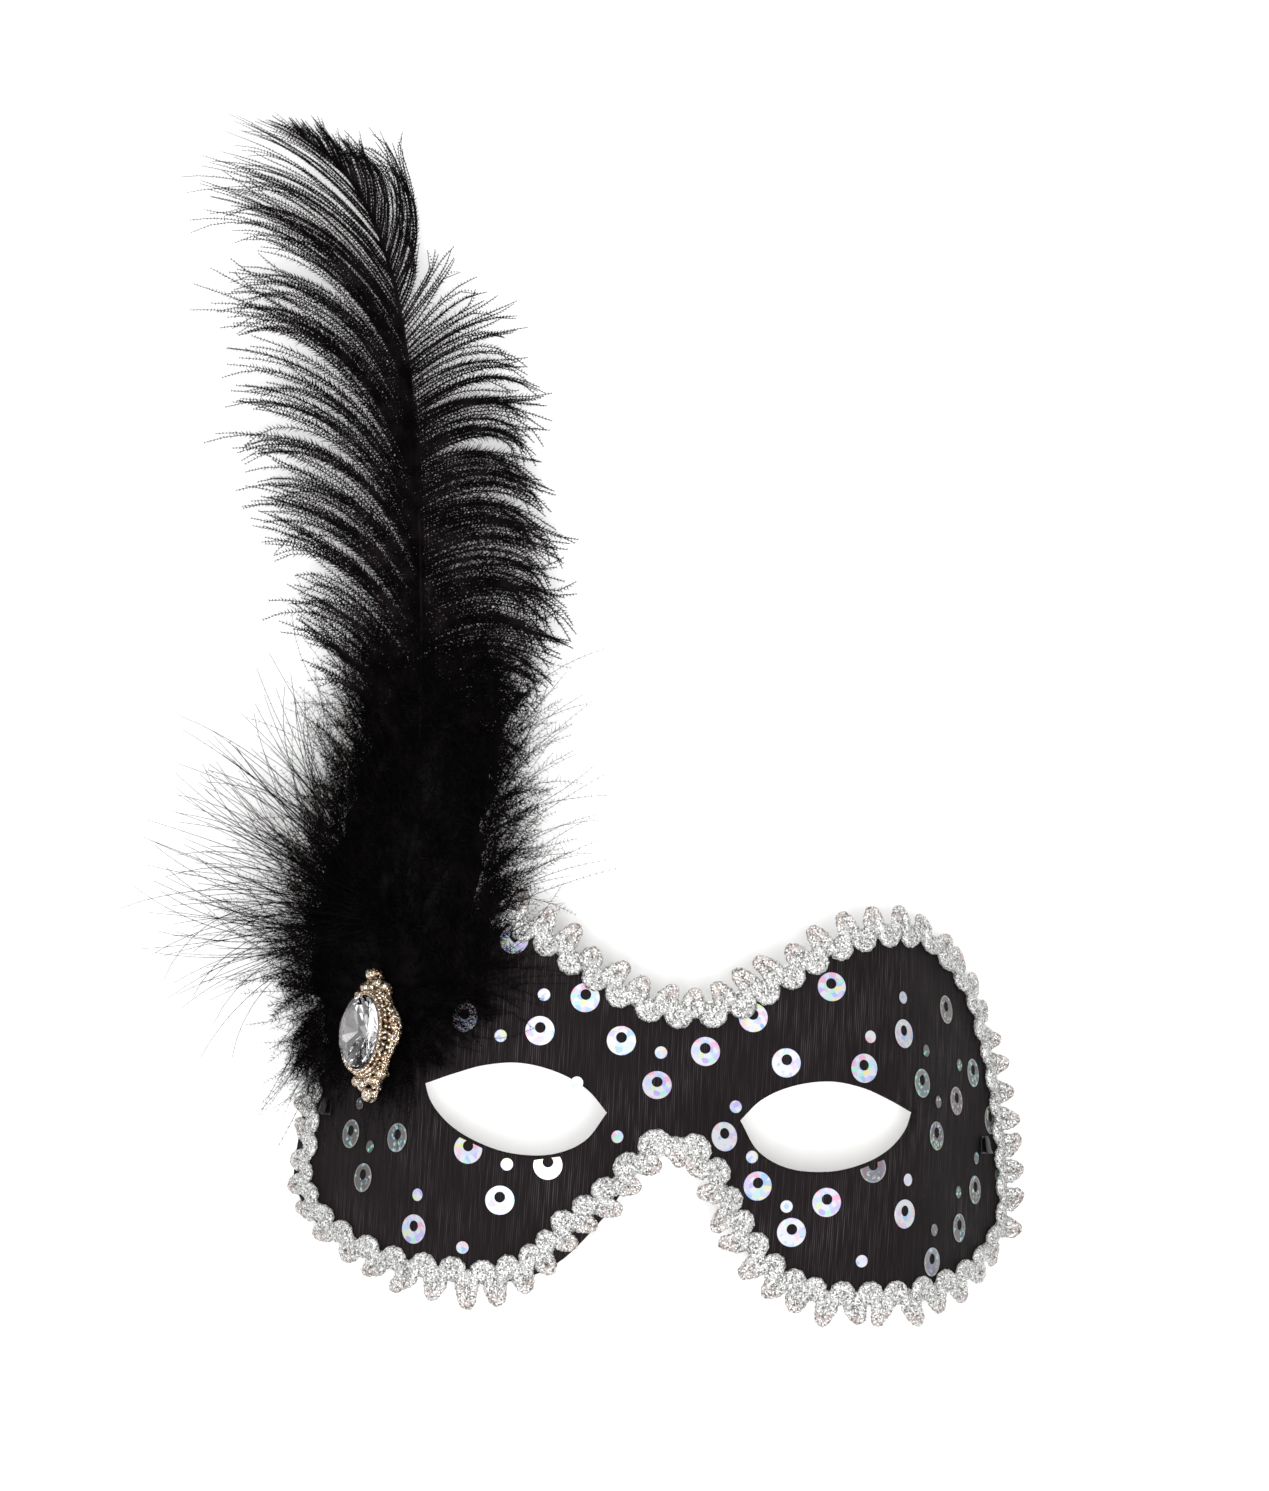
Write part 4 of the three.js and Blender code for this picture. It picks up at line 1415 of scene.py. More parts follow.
@dataclass
class Sequins:
    """Foil sequins with an off-centre hole, and small foil dots between them."""

    maker: Maker
    radius: float = 3.5
    hole_radius: float = 1.3
    hole_offset: float = 0.75
    thickness: float = 0.14
    bevel: float = 0.056
    dot_radius: float = 1.5
    clearance: float = 0.55
    crooked: float = 0.12
    eye_gap: float = 0.3
    segments: int = 40
    probes: int = 12
    whole: Pairs = (
        (-33, 19.1), (-13.5, 17.9), (-50.5, 21.1), (-64.4, -8.7), (-75.1, -8.9), (-71.7, -19.1),
        (-40, -21.6), (-4.5, 7.7), (6.7, 16.5), (26.3, 15), (36.4, 33.8), (45.3, 14.8), (55.3, 23.6),
        (67.9, 30.1), (61, 11.9), (71.7, 7.9), (65.8, -0.7), (11.8, -3.4), (20.9, -14.6), (30, -25.2),
        (38, -17.6), (57.6, -19.6), (73.9, -23), (78.6, -13.8), (77, 14.9),
    )
    under_braid: Pairs = ((-40.1, 40.4), (-22.7, 27.6), (-59.4, -30), (17.8, 25.3), (66, -31.1), (83.1, 3.4))
    at_eye: Pairs = ((-48.1, -10), (-29.2, -12.6), (48.8, -8.9))
    # Extra painted shade on each sequin cut at an eye hole.
    painted_shade_at_eye: tuple[float, ...] = (0.1, 0.0, 0.3)
    dots: Pairs = (
        (-32.5, 27.7), (-42.1, 17.3), (-3.9, 15.6), (-23.5, 7.3), (-13.1, -4.9), (-38.9, -13), (-59, -21.8),
        (-70.5, -11.5), (-48, -33.4), (14.5, 3.8), (19.1, -7.8), (28.4, -19.1), (47.5, -31.2), (58, -11.4),
        (46.5, 22.4), (54.8, 32.3), (61.9, 19.8), (72.4, 16.7), (66, 7.5), (78.7, -6), (73.2, -14.3),
        (66.2, -23.4), (-73.4, -1.4), (86, -10.2),
    )

    def _disc(self, name: str, radius: float, hole: float) -> Piece:
        """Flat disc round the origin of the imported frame.

        Args:
            name: Name of the object.
            radius: Its radius.
            hole: Radius of its off-centre hole, or 0 for none.

        Returns:
            A closed disc, not shifted into place.
        """
        circle, top = oval(turns(self.segments)), self.thickness
        rims = [(circle * radius, 0.0), (circle * radius, top - self.bevel)]
        rims.append((circle * (radius - self.bevel), top))
        if hole:
            inner = circle * hole + [0.0, self.hole_offset]
            rims += [(inner, top), (inner, 0.0)]
        points, faces = stacked(rims), tube_faces(len(rims), self.segments, closed=hole > 0)
        return self.maker.mesh(name, points - self.maker.mask.shift, faces, smooth=False, on_sequin=points)

    def _lift(self, x: float, y: float, radius: float) -> float:
        """Distance off the face at which a flat disc clears the fabric all round.

        Args:
            x: Place across the face.
            y: Place along the face.
            radius: Radius of the disc.

        Returns:
            The distance.
        """
        form = self.maker.mask.form
        rim = form.point(x, y, 0.0) + radius * oval(turns(self.probes)) @ form.basis(x, y)[:2]
        above = (rim[:, 2] - form.height(rim[:, 0], rim[:, 1])) * form.normal(rim[:, 0], rim[:, 1])[:, 2]
        return self.clearance - min(0.0, float(above.min()))

    def _recipe(self, disc: Piece) -> Recipe:
        """Tree that sets a disc on each carrier point.

        Args:
            disc: The disc.

        Returns:
            The tree.
        """
        recipe = Recipe(f"{disc.name}_scatter")
        info = recipe.node("GeometryNodeObjectInfo", {"transform_space": "ORIGINAL"}, {"Object": disc})
        inputs = {
            "Primary Axis": recipe.read("face_normal", "FLOAT_VECTOR"),
            "Secondary Axis": recipe.read("towards_top", "FLOAT_VECTOR"),
        }
        turn = recipe.node("FunctionNodeAxesToRotation", {"primary_axis": "Z", "secondary_axis": "Y"}, inputs)
        inputs = {"Points": recipe.carrier, "Instance": recipe.out(info, "Geometry"), "Rotation": turn}
        recipe.close(recipe.node("GeometryNodeInstanceOnPoints", None, inputs))
        return recipe

    def _scatter(
        self, name: str, places: Pairs, radius: float, hole: float, foil: Material, painted_shade: float = 0.0
    ) -> Piece:
        """Sets discs on the face.

        Args:
            name: Name of the piece.
            places: Their plan places.
            radius: Their radius.
            hole: Radius of their hole.
            foil: Their finish.
            painted_shade: How much more painted shade they get than the others.

        Returns:
            All of them as one mesh.
        """
        form = self.maker.mask.form
        rng = np.random.default_rng(len(places))
        bases = np.array([form.basis(x, y, float(rng.normal(0, self.crooked))) for x, y in places])
        disc = self._disc(f"{name}_disc", radius, hole)
        carrier = self.maker.mesh(
            f"{name}_places",
            np.array([form.point(x, y, self._lift(x, y, radius)) for x, y in places]),
            face_normal=bases[:, 2],
            towards_top=bases[:, 1],
            seed=rng.random(len(places)),
            # Tilt of each disc plus its extra painted shade; the foil paints shade from it.
            tilt=painted_shade + 1 - bases[:, 2, 2],
        )
        piece = self._recipe(disc).run(name, carrier, {"Finish": foil})
        bpy.data.objects.remove(disc)
        return piece

    def _trim_at_eye(self, piece: Piece, place: Pair) -> None:
        """Cuts a sequin off along the edge of the eye hole.

        Args:
            piece: The sequin.
            place: Its plan place.
        """
        mask = self.maker.mask
        flip = np.array([math.copysign(1.0, place[0]), 1.0])
        loop = mask.eye_loop * flip
        nearest = np.argmin(np.linalg.norm(loop - place, axis=1))
        at = loop[nearest]
        tangent = loop[(nearest + 3) % len(loop)] - at
        way = unit(np.array([-tangent[1], tangent[0]]))
        way = way if way @ (mask.EYE_CENTRE * flip - at) > 0 else -way
        body = bmesh.new()
        body.from_mesh(piece.data)
        cut = bmesh.ops.bisect_plane(
            body,
            geom=[*body.verts, *body.edges, *body.faces],
            plane_co=mask.to_metres(np.array([*(at - way * self.eye_gap), 0.0])),
            plane_no=(*way, 0.0),
            clear_outer=True,
        )
        bmesh.ops.edgenet_fill(body, edges=[e for e in cut["geom_cut"] if isinstance(e, bmesh.types.BMEdge)])
        body.to_mesh(piece.data)
        body.free()

    def build(self) -> None:
        """Builds, dresses and hands over all sequins and dots."""
        foil = HologramFoil().material()
        places = self.whole + self.under_braid
        whole = self._scatter("foil_sequins", places, self.radius, self.hole_radius, foil)
        nodes = [f"sequin_{i + 1:02d}" for i in range(len(self.whole))]
        self.maker.hand_over(whole, Slot.SEQUIN, *nodes)
        for i, (place, painted_shade) in enumerate(zip(self.at_eye, self.painted_shade_at_eye)):
            name = f"sequin_cut_at_eye_{i + 1}"
            piece = self._scatter(name, (place,), self.radius, self.hole_radius, foil, painted_shade)
            self._trim_at_eye(piece, place)
            self.maker.hand_over(piece, Slot.SEQUIN)
        dots = self._scatter("foil_dots", self.dots, self.dot_radius, 0.0, foil)
        self.maker.hand_over(dots, Slot.SEQUIN)


# Brooch


@dataclass(frozen=True)
class BeadRow:
    """Ring of beads at a distance from the stone or from the rim."""

    gap: float
    count: int
    height: float
    radius: float


@dataclass
class Brooch:
    """Gold setting with granules, trefoil finials and side lobes, and an oval stone in it."""

    maker: Maker
    place: Pair = (-66.6, 14.7)
    lift: float = 5.2
    turn: float = math.radians(14.0)
    half_height: float = 17.0
    half_width: float = 10.8
    ring: Pair = (8.8, 11.3)
    side_sharpness: int = 9
    trefoil_sharpness: int = 28
    shoulder: Triple = (2.2, 0.88, 0.045)
    plate: float = 1.8
    plate_segments: int = 200
    cup_height: float = 5.3
    cup_segments: int = 96
    stone: Pair = (6.9, 8.9)
    facets: int = 8
    culet: float = 2.1
    pavilion: float = 3.1
    girdle: float = 1.2
    crown: float = 2.3
    foil_gap: float = 0.12
    foil_thickness: float = 0.2
    cup_beads: tuple[BeadRow, ...] = (
        BeadRow(0.95, 56, 5.05, 0.45), BeadRow(1.25, 44, 3.9, 0.62), BeadRow(1.55, 40, 2.7, 0.68),
    )
    rim_beads: BeadRow = BeadRow(0.8, 52, 1.9, 0.68)
    grains: int = 260
    grain_radius: Pair = (0.32, 0.66)
    grain_height: float = 1.95
    grain_gaps: Pair = (1.6, 0.9)
    finial_inset: float = 1.8
    finial: tuple[tuple[float, float, float, float], ...] = (
        (0.0, 0.0, 2.2, 1.8), (2.4, 2.9, 2.1, 1.6), (0.0, 3.6, 2.4, 1.2), (5.0, 4.4, 2.0, 1.5),
        (3.4, 5.9, 2.2, 1.0),
    )
    lobe_height: float = 2.0
    lobe: Triples = ((1.4, 0.0, 1.4), (2.3, 2.5, 1.15), (3.3, 4.6, 0.95), (3.6, 1.2, 0.8))

    def origin(self) -> Array:
        """Middle of the setting's back in the mask's frame."""
        return self.maker.mask.form.point(*self.place, self.lift)

    def axes(self) -> Array:
        """Rows that point across, along and out of the brooch."""
        return self.maker.mask.form.basis(*self.place, self.turn)

    def _to_mask(self, points: Array) -> Array:
        """Points of the brooch's own frame in the mask's frame."""
        return self.origin() + points @ self.axes()

    def _radius(self, angle: Amount) -> Amount:
        """Outline of the setting: an oval ring, trefoils above and below, and a lobe at each side.

        Args:
            angle: Angles round the middle.

        Returns:
            Distances from the middle.
        """
        across, upright = np.abs(np.cos(angle)), np.abs(np.sin(angle))
        side = (self.half_width - self.ring[0]) * across**self.side_sharpness
        trefoil = (self.half_height - self.ring[1]) * upright**self.trefoil_sharpness
        height, middle, width = self.shoulder
        shoulder = height * np.exp(-(((upright - middle) / width) ** 2))
        return oval_reach(angle, *self.ring) + side + trefoil + shoulder

    def _contour(self, inset: float, count: int) -> Array:
        """Plan loop at a distance inside the outline.

        Args:
            inset: The distance.
            count: Number of points.

        Returns:
            The points.
        """
        angle = turns(count)
        radius = self._radius(angle) - inset
        return oval(angle, radius, radius)

    def _oval(self, extra: float, count: int) -> Array:
        """Plan oval at a distance outside the stone."""
        return oval(turns(count), self.stone[0] + extra, self.stone[1] + extra)

    def _rings(self, name: str, loops: Sequence[tuple[Array, float, float]], closed: bool = False) -> Piece:
        """Solid through a series of loops.

        Args:
            name: Name of the object.
            loops: Plan loop, height and raised share of each.
            closed: Whether the last loop joins the first.

        Returns:
            The solid.
        """
        count = len(loops[0][0])
        points = self._to_mask(stacked([(loop, z) for loop, z, _ in loops]))
        raised = np.repeat([share for _, _, share in loops], count)
        faces = tube_faces(len(loops), count, closed)
        return self.maker.outward(self.maker.mesh(name, points, faces, raised=raised))

    def _base(self) -> Piece:
        """Plate with a raised rim and a sunken field.

        Returns:
            The plate.
        """
        top = self.plate
        steps = (
            (0.5, 0.0, 0.0), (0.0, 0.5, 0.5), (0.0, top - 0.5, 0.8), (0.35, top, 1.0), (0.9, top, 1.0),
            (1.3, top - 0.6, 0.1), (3.2, top - 0.7, 0.0),
        )
        loops = [(self._contour(inset, self.plate_segments), z, raised) for inset, z, raised in steps]
        return self._rings("setting_plate", loops)

    def _cup(self) -> Piece:
        """Bezel ring that holds the stone, open in the middle.

        Returns:
            The ring.
        """
        top = self.cup_height
        steps = (
            (0.3, 0.45, 0.0), (1.15, 0.45, 0.0), (1.15, 1.9, 0.2), (1.0, top - 0.6, 0.7),
            (0.6, top, 1.0), (0.22, top - 0.05, 1.0), (0.18, top - 0.4, 0.6), (0.3, top - 0.9, 0.1),
        )
        loops = [(self._oval(extra, self.cup_segments), z, raised) for extra, z, raised in steps]
        return self._rings("setting_cup", loops, closed=True)

    def _pavilion(self, drop: float) -> list[tuple[Array, float]]:
        """Oval corners of the stone's lower half, from its girdle down, and their heights.

        Args:
            drop: How far all of them are lowered.

        Returns:
            Corners and height of each row.
        """
        low = self.culet + self.pavilion
        return [
            (self._corners(2 * self.facets, 0.0, 1.0), low - drop),
            (self._corners(self.facets, 0.5, 0.62), low - self.pavilion * 0.5 - drop),
            (self._corners(self.facets, 0.0, 0.03), self.culet - drop),
        ]

    def _corners(self, count: int, phase: float, scale: float) -> Array:
        """Corners of one oval ring of the stone."""
        return oval(turns(count, phase), self.stone[0] * scale, self.stone[1] * scale)

    def _foil(self) -> Piece:
        """Mirror foil with flat facets that lies close under the stone.

        Returns:
            The foil.
        """
        below = self._pavilion(self.foil_gap + self.foil_thickness)
        rings = [*self._pavilion(self.foil_gap), *reversed(below)]
        points, count = stacked(rings), self.facets
        start = np.cumsum([0, *[len(corners) for corners, _ in rings]])
        faces: list[list[int]] = []
        for upper, lower, tip in (start[:3], start[5:2:-1]):
            for k in range(count):
                n, a, b = (k + 1) % count, upper + 2 * k, lower + k
                faces += [
                    [b, a + 1, a], [b, upper + 2 * n, a + 1], [b, a, lower + (k - 1) % count],
                    [tip + n, lower + n, b], [tip + n, b, tip + k],
                ]
        for k in range(2 * count):
            n = (k + 1) % (2 * count)
            faces.append([start[0] + k, start[0] + n, start[5] + n, start[5] + k])
        faces += [[first + k for k in range(count)] for first in start[2:4]]
        raised = np.ones(len(points))
        return self.maker.outward(
            self.maker.mesh("setting_foil", self._to_mask(points), faces, smooth=False, raised=raised)
        )

    def _bead_places(self) -> tuple[Array, Array]:
        """Centres and radii of the beads and granules in the brooch's frame.

        Returns:
            The centres, and the radii.
        """
        rows = [(self._oval(row.gap, row.count), row) for row in self.cup_beads]
        rows.append((self._contour(self.rim_beads.gap, self.rim_beads.count), self.rim_beads))
        beads = [(x, y, row.height, row.radius) for loop, row in rows for x, y in loop]
        for end in (-1, 1):
            tip = end * (self.half_height - self.finial_inset)
            for x, back, z, radius in self.finial:
                beads += [(side * x, tip - end * back, z, radius) for side in ((-1, 1) if x else (1,))]
        for side in (-1, 1):
            for back, y, radius in self.lobe:
                x = side * (self.half_width - back)
                beads += [(x, up * y, self.lobe_height, radius) for up in ((-1, 1) if y else (1,))]
        rng = np.random.default_rng(9)
        at_stone, at_rim = self.grain_gaps
        for angle in rng.uniform(0, 2 * math.pi, self.grains):
            inner = oval_reach(angle, self.stone[0] + at_stone, self.stone[1] + at_stone)
            reach = rng.uniform(inner, max(self._radius(angle) - at_rim, inner + 0.1))
            radius = rng.uniform(*self.grain_radius)
            beads.append((reach * math.cos(angle), reach * math.sin(angle), self.grain_height, radius))
        table = np.array(beads)
        return table[:, :3], table[:, 3]

    def _recipe(self) -> Recipe:
        """Tree that sets a bead on each carrier point.

        Returns:
            The tree.
        """
        recipe = Recipe("granules")
        fineness = recipe.count("Fineness")
        ball = recipe.node("GeometryNodeMeshIcoSphere", None, {"Radius": 1.0, "Subdivisions": fineness})
        smooth = recipe.node("GeometryNodeSetShadeSmooth", None, {"Geometry": ball})
        inputs = {"Points": recipe.carrier, "Instance": smooth, "Scale": recipe.read("radius")}
        recipe.close(recipe.node("GeometryNodeInstanceOnPoints", None, inputs))
        return recipe

    def _stone(self) -> Piece:
        """Oval brilliant with table, kites, upper and lower facets.

        Returns:
            The stone.
        """
        count, girdle = self.facets, self.culet + self.pavilion + self.girdle
        rows = [
            (self._corners(count, 0.0, 0.58), girdle + self.crown),
            (self._corners(count, 0.5, 0.82), girdle + self.crown * 0.55),
            (self._corners(2 * count, 0.0, 1.0), girdle),
            *self._pavilion(0.0)[:2],
            (np.zeros((1, 2)), self.culet),
        ]
        table, star, upper, lower, pavilion, culet = np.cumsum([0, *[len(loop) for loop, _ in rows]])[:-1]
        faces: list[list[int]] = [[table + k for k in range(count)]]
        for k in range(count):
            n, p, a, b = (k + 1) % count, (k - 1) % count, upper + 2 * k, lower + 2 * k
            faces += [
                [table + k, star + k, table + n], [table + k, star + p, a, star + k], [star + k, a, a + 1],
                [star + k, a + 1, upper + 2 * n], [pavilion + k, b + 1, b],
                [pavilion + k, lower + 2 * n, b + 1], [culet, pavilion + k, b, pavilion + p],
            ]
        for k in range(2 * count):
            n = (k + 1) % (2 * count)
            faces.append([upper + k, lower + k, lower + n, upper + n])
        return self.maker.outward(
            self.maker.mesh("brooch_cut_stone", self._to_mask(stacked(rows)), faces, smooth=False)
        )

    def build(self) -> None:
        """Builds, dresses and hands over the setting and the stone."""
        gold = ChampagneGold().material()
        centres, radii = self._bead_places()
        raised = np.ones(len(radii))
        carrier = self.maker.mesh("bead_places", self._to_mask(centres), radius=radii * MM, raised=raised)
        beads = self._recipe().run("setting_beads", carrier, {"Fineness": 2, "Finish": gold})
        base, cup, foil = self._base(), self._cup(), self._foil()
        for part, finish in ((base, gold), (cup, gold), (foil, MirrorFoil().material())):
            part.data.materials.append(finish)
        setting = self.maker.join("brooch_gold_setting", [base, cup, foil, beads])
        self.maker.hand_over(setting, Slot.GOLD, "brooch_setting")
        self.maker.hand_over(self._stone(), Slot.STONE, "brooch_stone", finish=ClearGlass().material())


# Ribbon ends


@dataclass
class RibbonTabs:
    """Folded ends of the tie ribbon beside the braid at each temple."""

    maker: Maker
    place: Pair = (80.6, -2.8)
    lift: float = 0.95
    width: float = 4.4
    thickness: float = 0.3
    swell: float = 1.15
    taper: float = 0.6
    ripple: float = 0.06
    rows: int = 9
    samples: int = 28
    fold: Pairs = ((-2.3, 0.2), (0.0, 0.15), (1.9, 0.25), (2.4, 0.75), (1.9, 1.3), (0.3, 1.45), (-1.3, 1.25))

    def _tab(self, side: Side) -> Piece:
        """Sweeps the fold's section along the ribbon's width.

        Args:
            side: Temple that it belongs to.

        Returns:
            The folded ribbon end.
        """
        line, share = Spline(self.fold), np.linspace(0, 1, self.samples)
        middle, tangent = line.at(share), line.tangent(share)
        across = np.stack([-tangent[:, 1], tangent[:, 0]], axis=-1) * self.thickness / 2
        loop = np.concatenate([middle + across, (middle - across)[::-1]])
        rows = []
        for k in np.linspace(-1, 1, self.rows):
            wave = self.swell - self.taper * (1 + k) / 2 + self.ripple * math.sin(3 * k)
            y = np.full(len(loop), k * self.width / 2)
            rows.append(np.column_stack([loop[:, 0] * side.value * wave, y, loop[:, 1] * wave]))
        form, x, y = self.maker.mask.form, self.place[0] * side.value, self.place[1]
        points = form.point(x, y, self.lift) + np.concatenate(rows) @ form.basis(x, y)
        name, faces = f"ribbon_fold_{side.name.lower()}", tube_faces(self.rows, len(loop))
        return self.maker.outward(self.maker.mesh(name, points, faces))

    def build(self) -> None:
        """Builds, dresses and hands over both ribbon ends."""
        satin = Satin().material()
        for side in Side:
            node = f"ribbon_tab_{side.name.lower()}"
            self.maker.hand_over(self._tab(side), Slot.RIBBON, node, finish=satin)


# Feathers


@dataclass(frozen=True)
class Barbules:
    """Sizes of the barbules of a barb, and how far they spread and stray from its direction."""

    spacing: float
    length: float
    width: float
    spread: float
    stray: float
    shaft_step: float = 4.5

    def values(self, finish: Material) -> dict[str, Any]:
        """Inputs of the feather tree.

        Args:
            finish: Material of the feathers.

        Returns:
            The values by name.
        """
        return {
            "Barbule spacing": self.spacing * MM,
            "Barbule length": self.length * MM,
            "Barbule width": self.width * MM,
            "Spread": self.spread,
            "Stray": self.stray,
            "Shaft step": self.shaft_step * MM,
            "Finish": finish,
        }


class FeatherRecipe(Recipe):
    """Geometry Nodes tree that gives each barb a shaft and two rows of barbules."""

    SEEDS = {Side.LEFT: 11, Side.RIGHT: 29}
    LENGTHS = (0.55, 1.15)

    def __init__(self, maker: Maker) -> None:
        """Builds the tree once for the plume and the down; the maker makes the carriers.

        Args:
            maker: Makes the carriers.
        """
        super().__init__("barbs_with_barbules")
        self.maker = maker
        spacing, self.length = self.size("Barbule spacing"), self.size("Barbule length")
        width, self.spread = self.size("Barbule width"), self.size("Spread")
        self.stray, shaft_step = self.size("Stray"), self.size("Shaft step")
        curves = self.node("GeometryNodeMeshToCurve", None, {"Mesh": self.carrier})
        shafts = self._shafts(curves, shaft_step)
        dense = self._resampled(curves, spacing)
        points = self.node("GeometryNodeCurveToPoints", {"mode": "EVALUATED"}, {"Curve": dense})
        inputs = {"Vertices": 3, "Radius Top": 0.0, "Radius Bottom": width, "Depth": 1.0}
        sliver = self.node("GeometryNodeMeshCone", {"fill_type": "NGON"}, inputs)
        rows = [self._row(points, sliver, side) for side in Side]
        joined = self.node("GeometryNodeJoinGeometry")
        for geometry in (shafts, *rows):
            self.tree.links.new(geometry.outputs[0], joined.inputs[0])
        self.close(joined)

    def _resampled(self, curves: Node, step: Number) -> Node:
        """The curves with points at an even distance."""
        return self.node("GeometryNodeResampleCurve", {"mode": "LENGTH"}, {"Curve": curves, "Length": step})

    def _shafts(self, curves: Node, step: Number) -> Node:
        """Three-sided tapered shafts along the curves.

        Args:
            curves: The curves.
            step: Length of a segment.

        Returns:
            Node that gives the shafts.
        """
        coarse = self._resampled(curves, step)
        ring = self.node("GeometryNodeCurvePrimitiveCircle", None, {"Resolution": 3, "Radius": 1.0})
        radius = self.read("shaft_radius")
        inputs = {"Curve": coarse, "Profile Curve": ring, "Scale": radius, "Fill Caps": True}
        return self.node("GeometryNodeCurveToMesh", None, inputs)

    def _row(self, points: Node, sliver: Node, side: Side) -> Node:
        """Barbules on one side of each barb.

        Args:
            points: Node that gives the points with their tangents.
            sliver: Barbule of length 1 that points along Z.
            side: Side of the barb.

        Returns:
            Node that gives the instances.
        """
        seed, tangent = self.SEEDS[side], self.out(points, "Tangent")
        sideways = self.vector("NORMALIZE", self.vector("CROSS_PRODUCT", tangent, (0.0, 0.0, side.value)))
        inputs = {"Min": (-1.0, -1.0, -1.0), "Max": (1.0, 1.0, 1.0), "Seed": seed}
        chance = self.node("FunctionNodeRandomValue", {"data_type": "FLOAT_VECTOR"}, inputs)
        way = self.vector("ADD", tangent, self.vector("SCALE", sideways, scale=self.spread))
        way = self.vector("ADD", way, self.vector("SCALE", self.out(chance, "Value"), scale=self.stray))
        turn = self.node("FunctionNodeAlignRotationToVector", {"axis": "Z"}, {"Vector": way})
        reach = self.length * Number(self, self.read("fluff")) * self.random(*self.LENGTHS, seed + 1)
        scale = self.together(1.0, 1.0, reach)
        inputs = {"Points": self.out(points, "Points"), "Instance": sliver, "Rotation": turn, "Scale": scale}
        return self.node("GeometryNodeInstanceOnPoints", None, inputs)

    def grow(
        self, name: str, paths: Array, radius: Array, fluff: Array, barbules: Barbules, finish: Material
    ) -> Piece:
        """Grows a bundle of barbs.

        Args:
            name: Name of the piece.
            paths: Points of each barb, barb by barb.
            radius: Radius of the shaft at each point, or at each step of any barb.
            fluff: Share of the full barbule length, likewise.
            barbules: Sizes of the barbules.
            finish: Material of the bundle.

        Returns:
            The bundle as one mesh.
        """
        shape = paths.shape[:2]
        index = np.arange(shape[0] * shape[1]).reshape(shape)
        carrier = self.maker.mesh(
            f"{name}_lines",
            paths.reshape(-1, 3),
            edges=np.stack([index[:, :-1].ravel(), index[:, 1:].ravel()], axis=-1).tolist(),
            shaft_radius=np.broadcast_to(radius, shape).ravel() * MM,
            fluff=np.broadcast_to(fluff, shape).ravel(),
        )
        return self.run(name, carrier, barbules.values(finish))


@dataclass(frozen=True)
class Keyed:
    """A size given at a few places between 0 and 1."""

    keys: Pairs

    def at(self, share: Array) -> Array:
        """Size at any places."""
        places, sizes = zip(*self.keys)
        return np.interp(share, places, sizes)


@dataclass(frozen=True)
class VaneShape:
    """Barbs of one side of the plume from its foot to its tip, with headings in degrees from +Y outwards."""

    foot: float
    leave: Keyed
    end: Keyed
    length: Keyed
    barbs: int
    missing: Keyed
    curl: float
    body: float


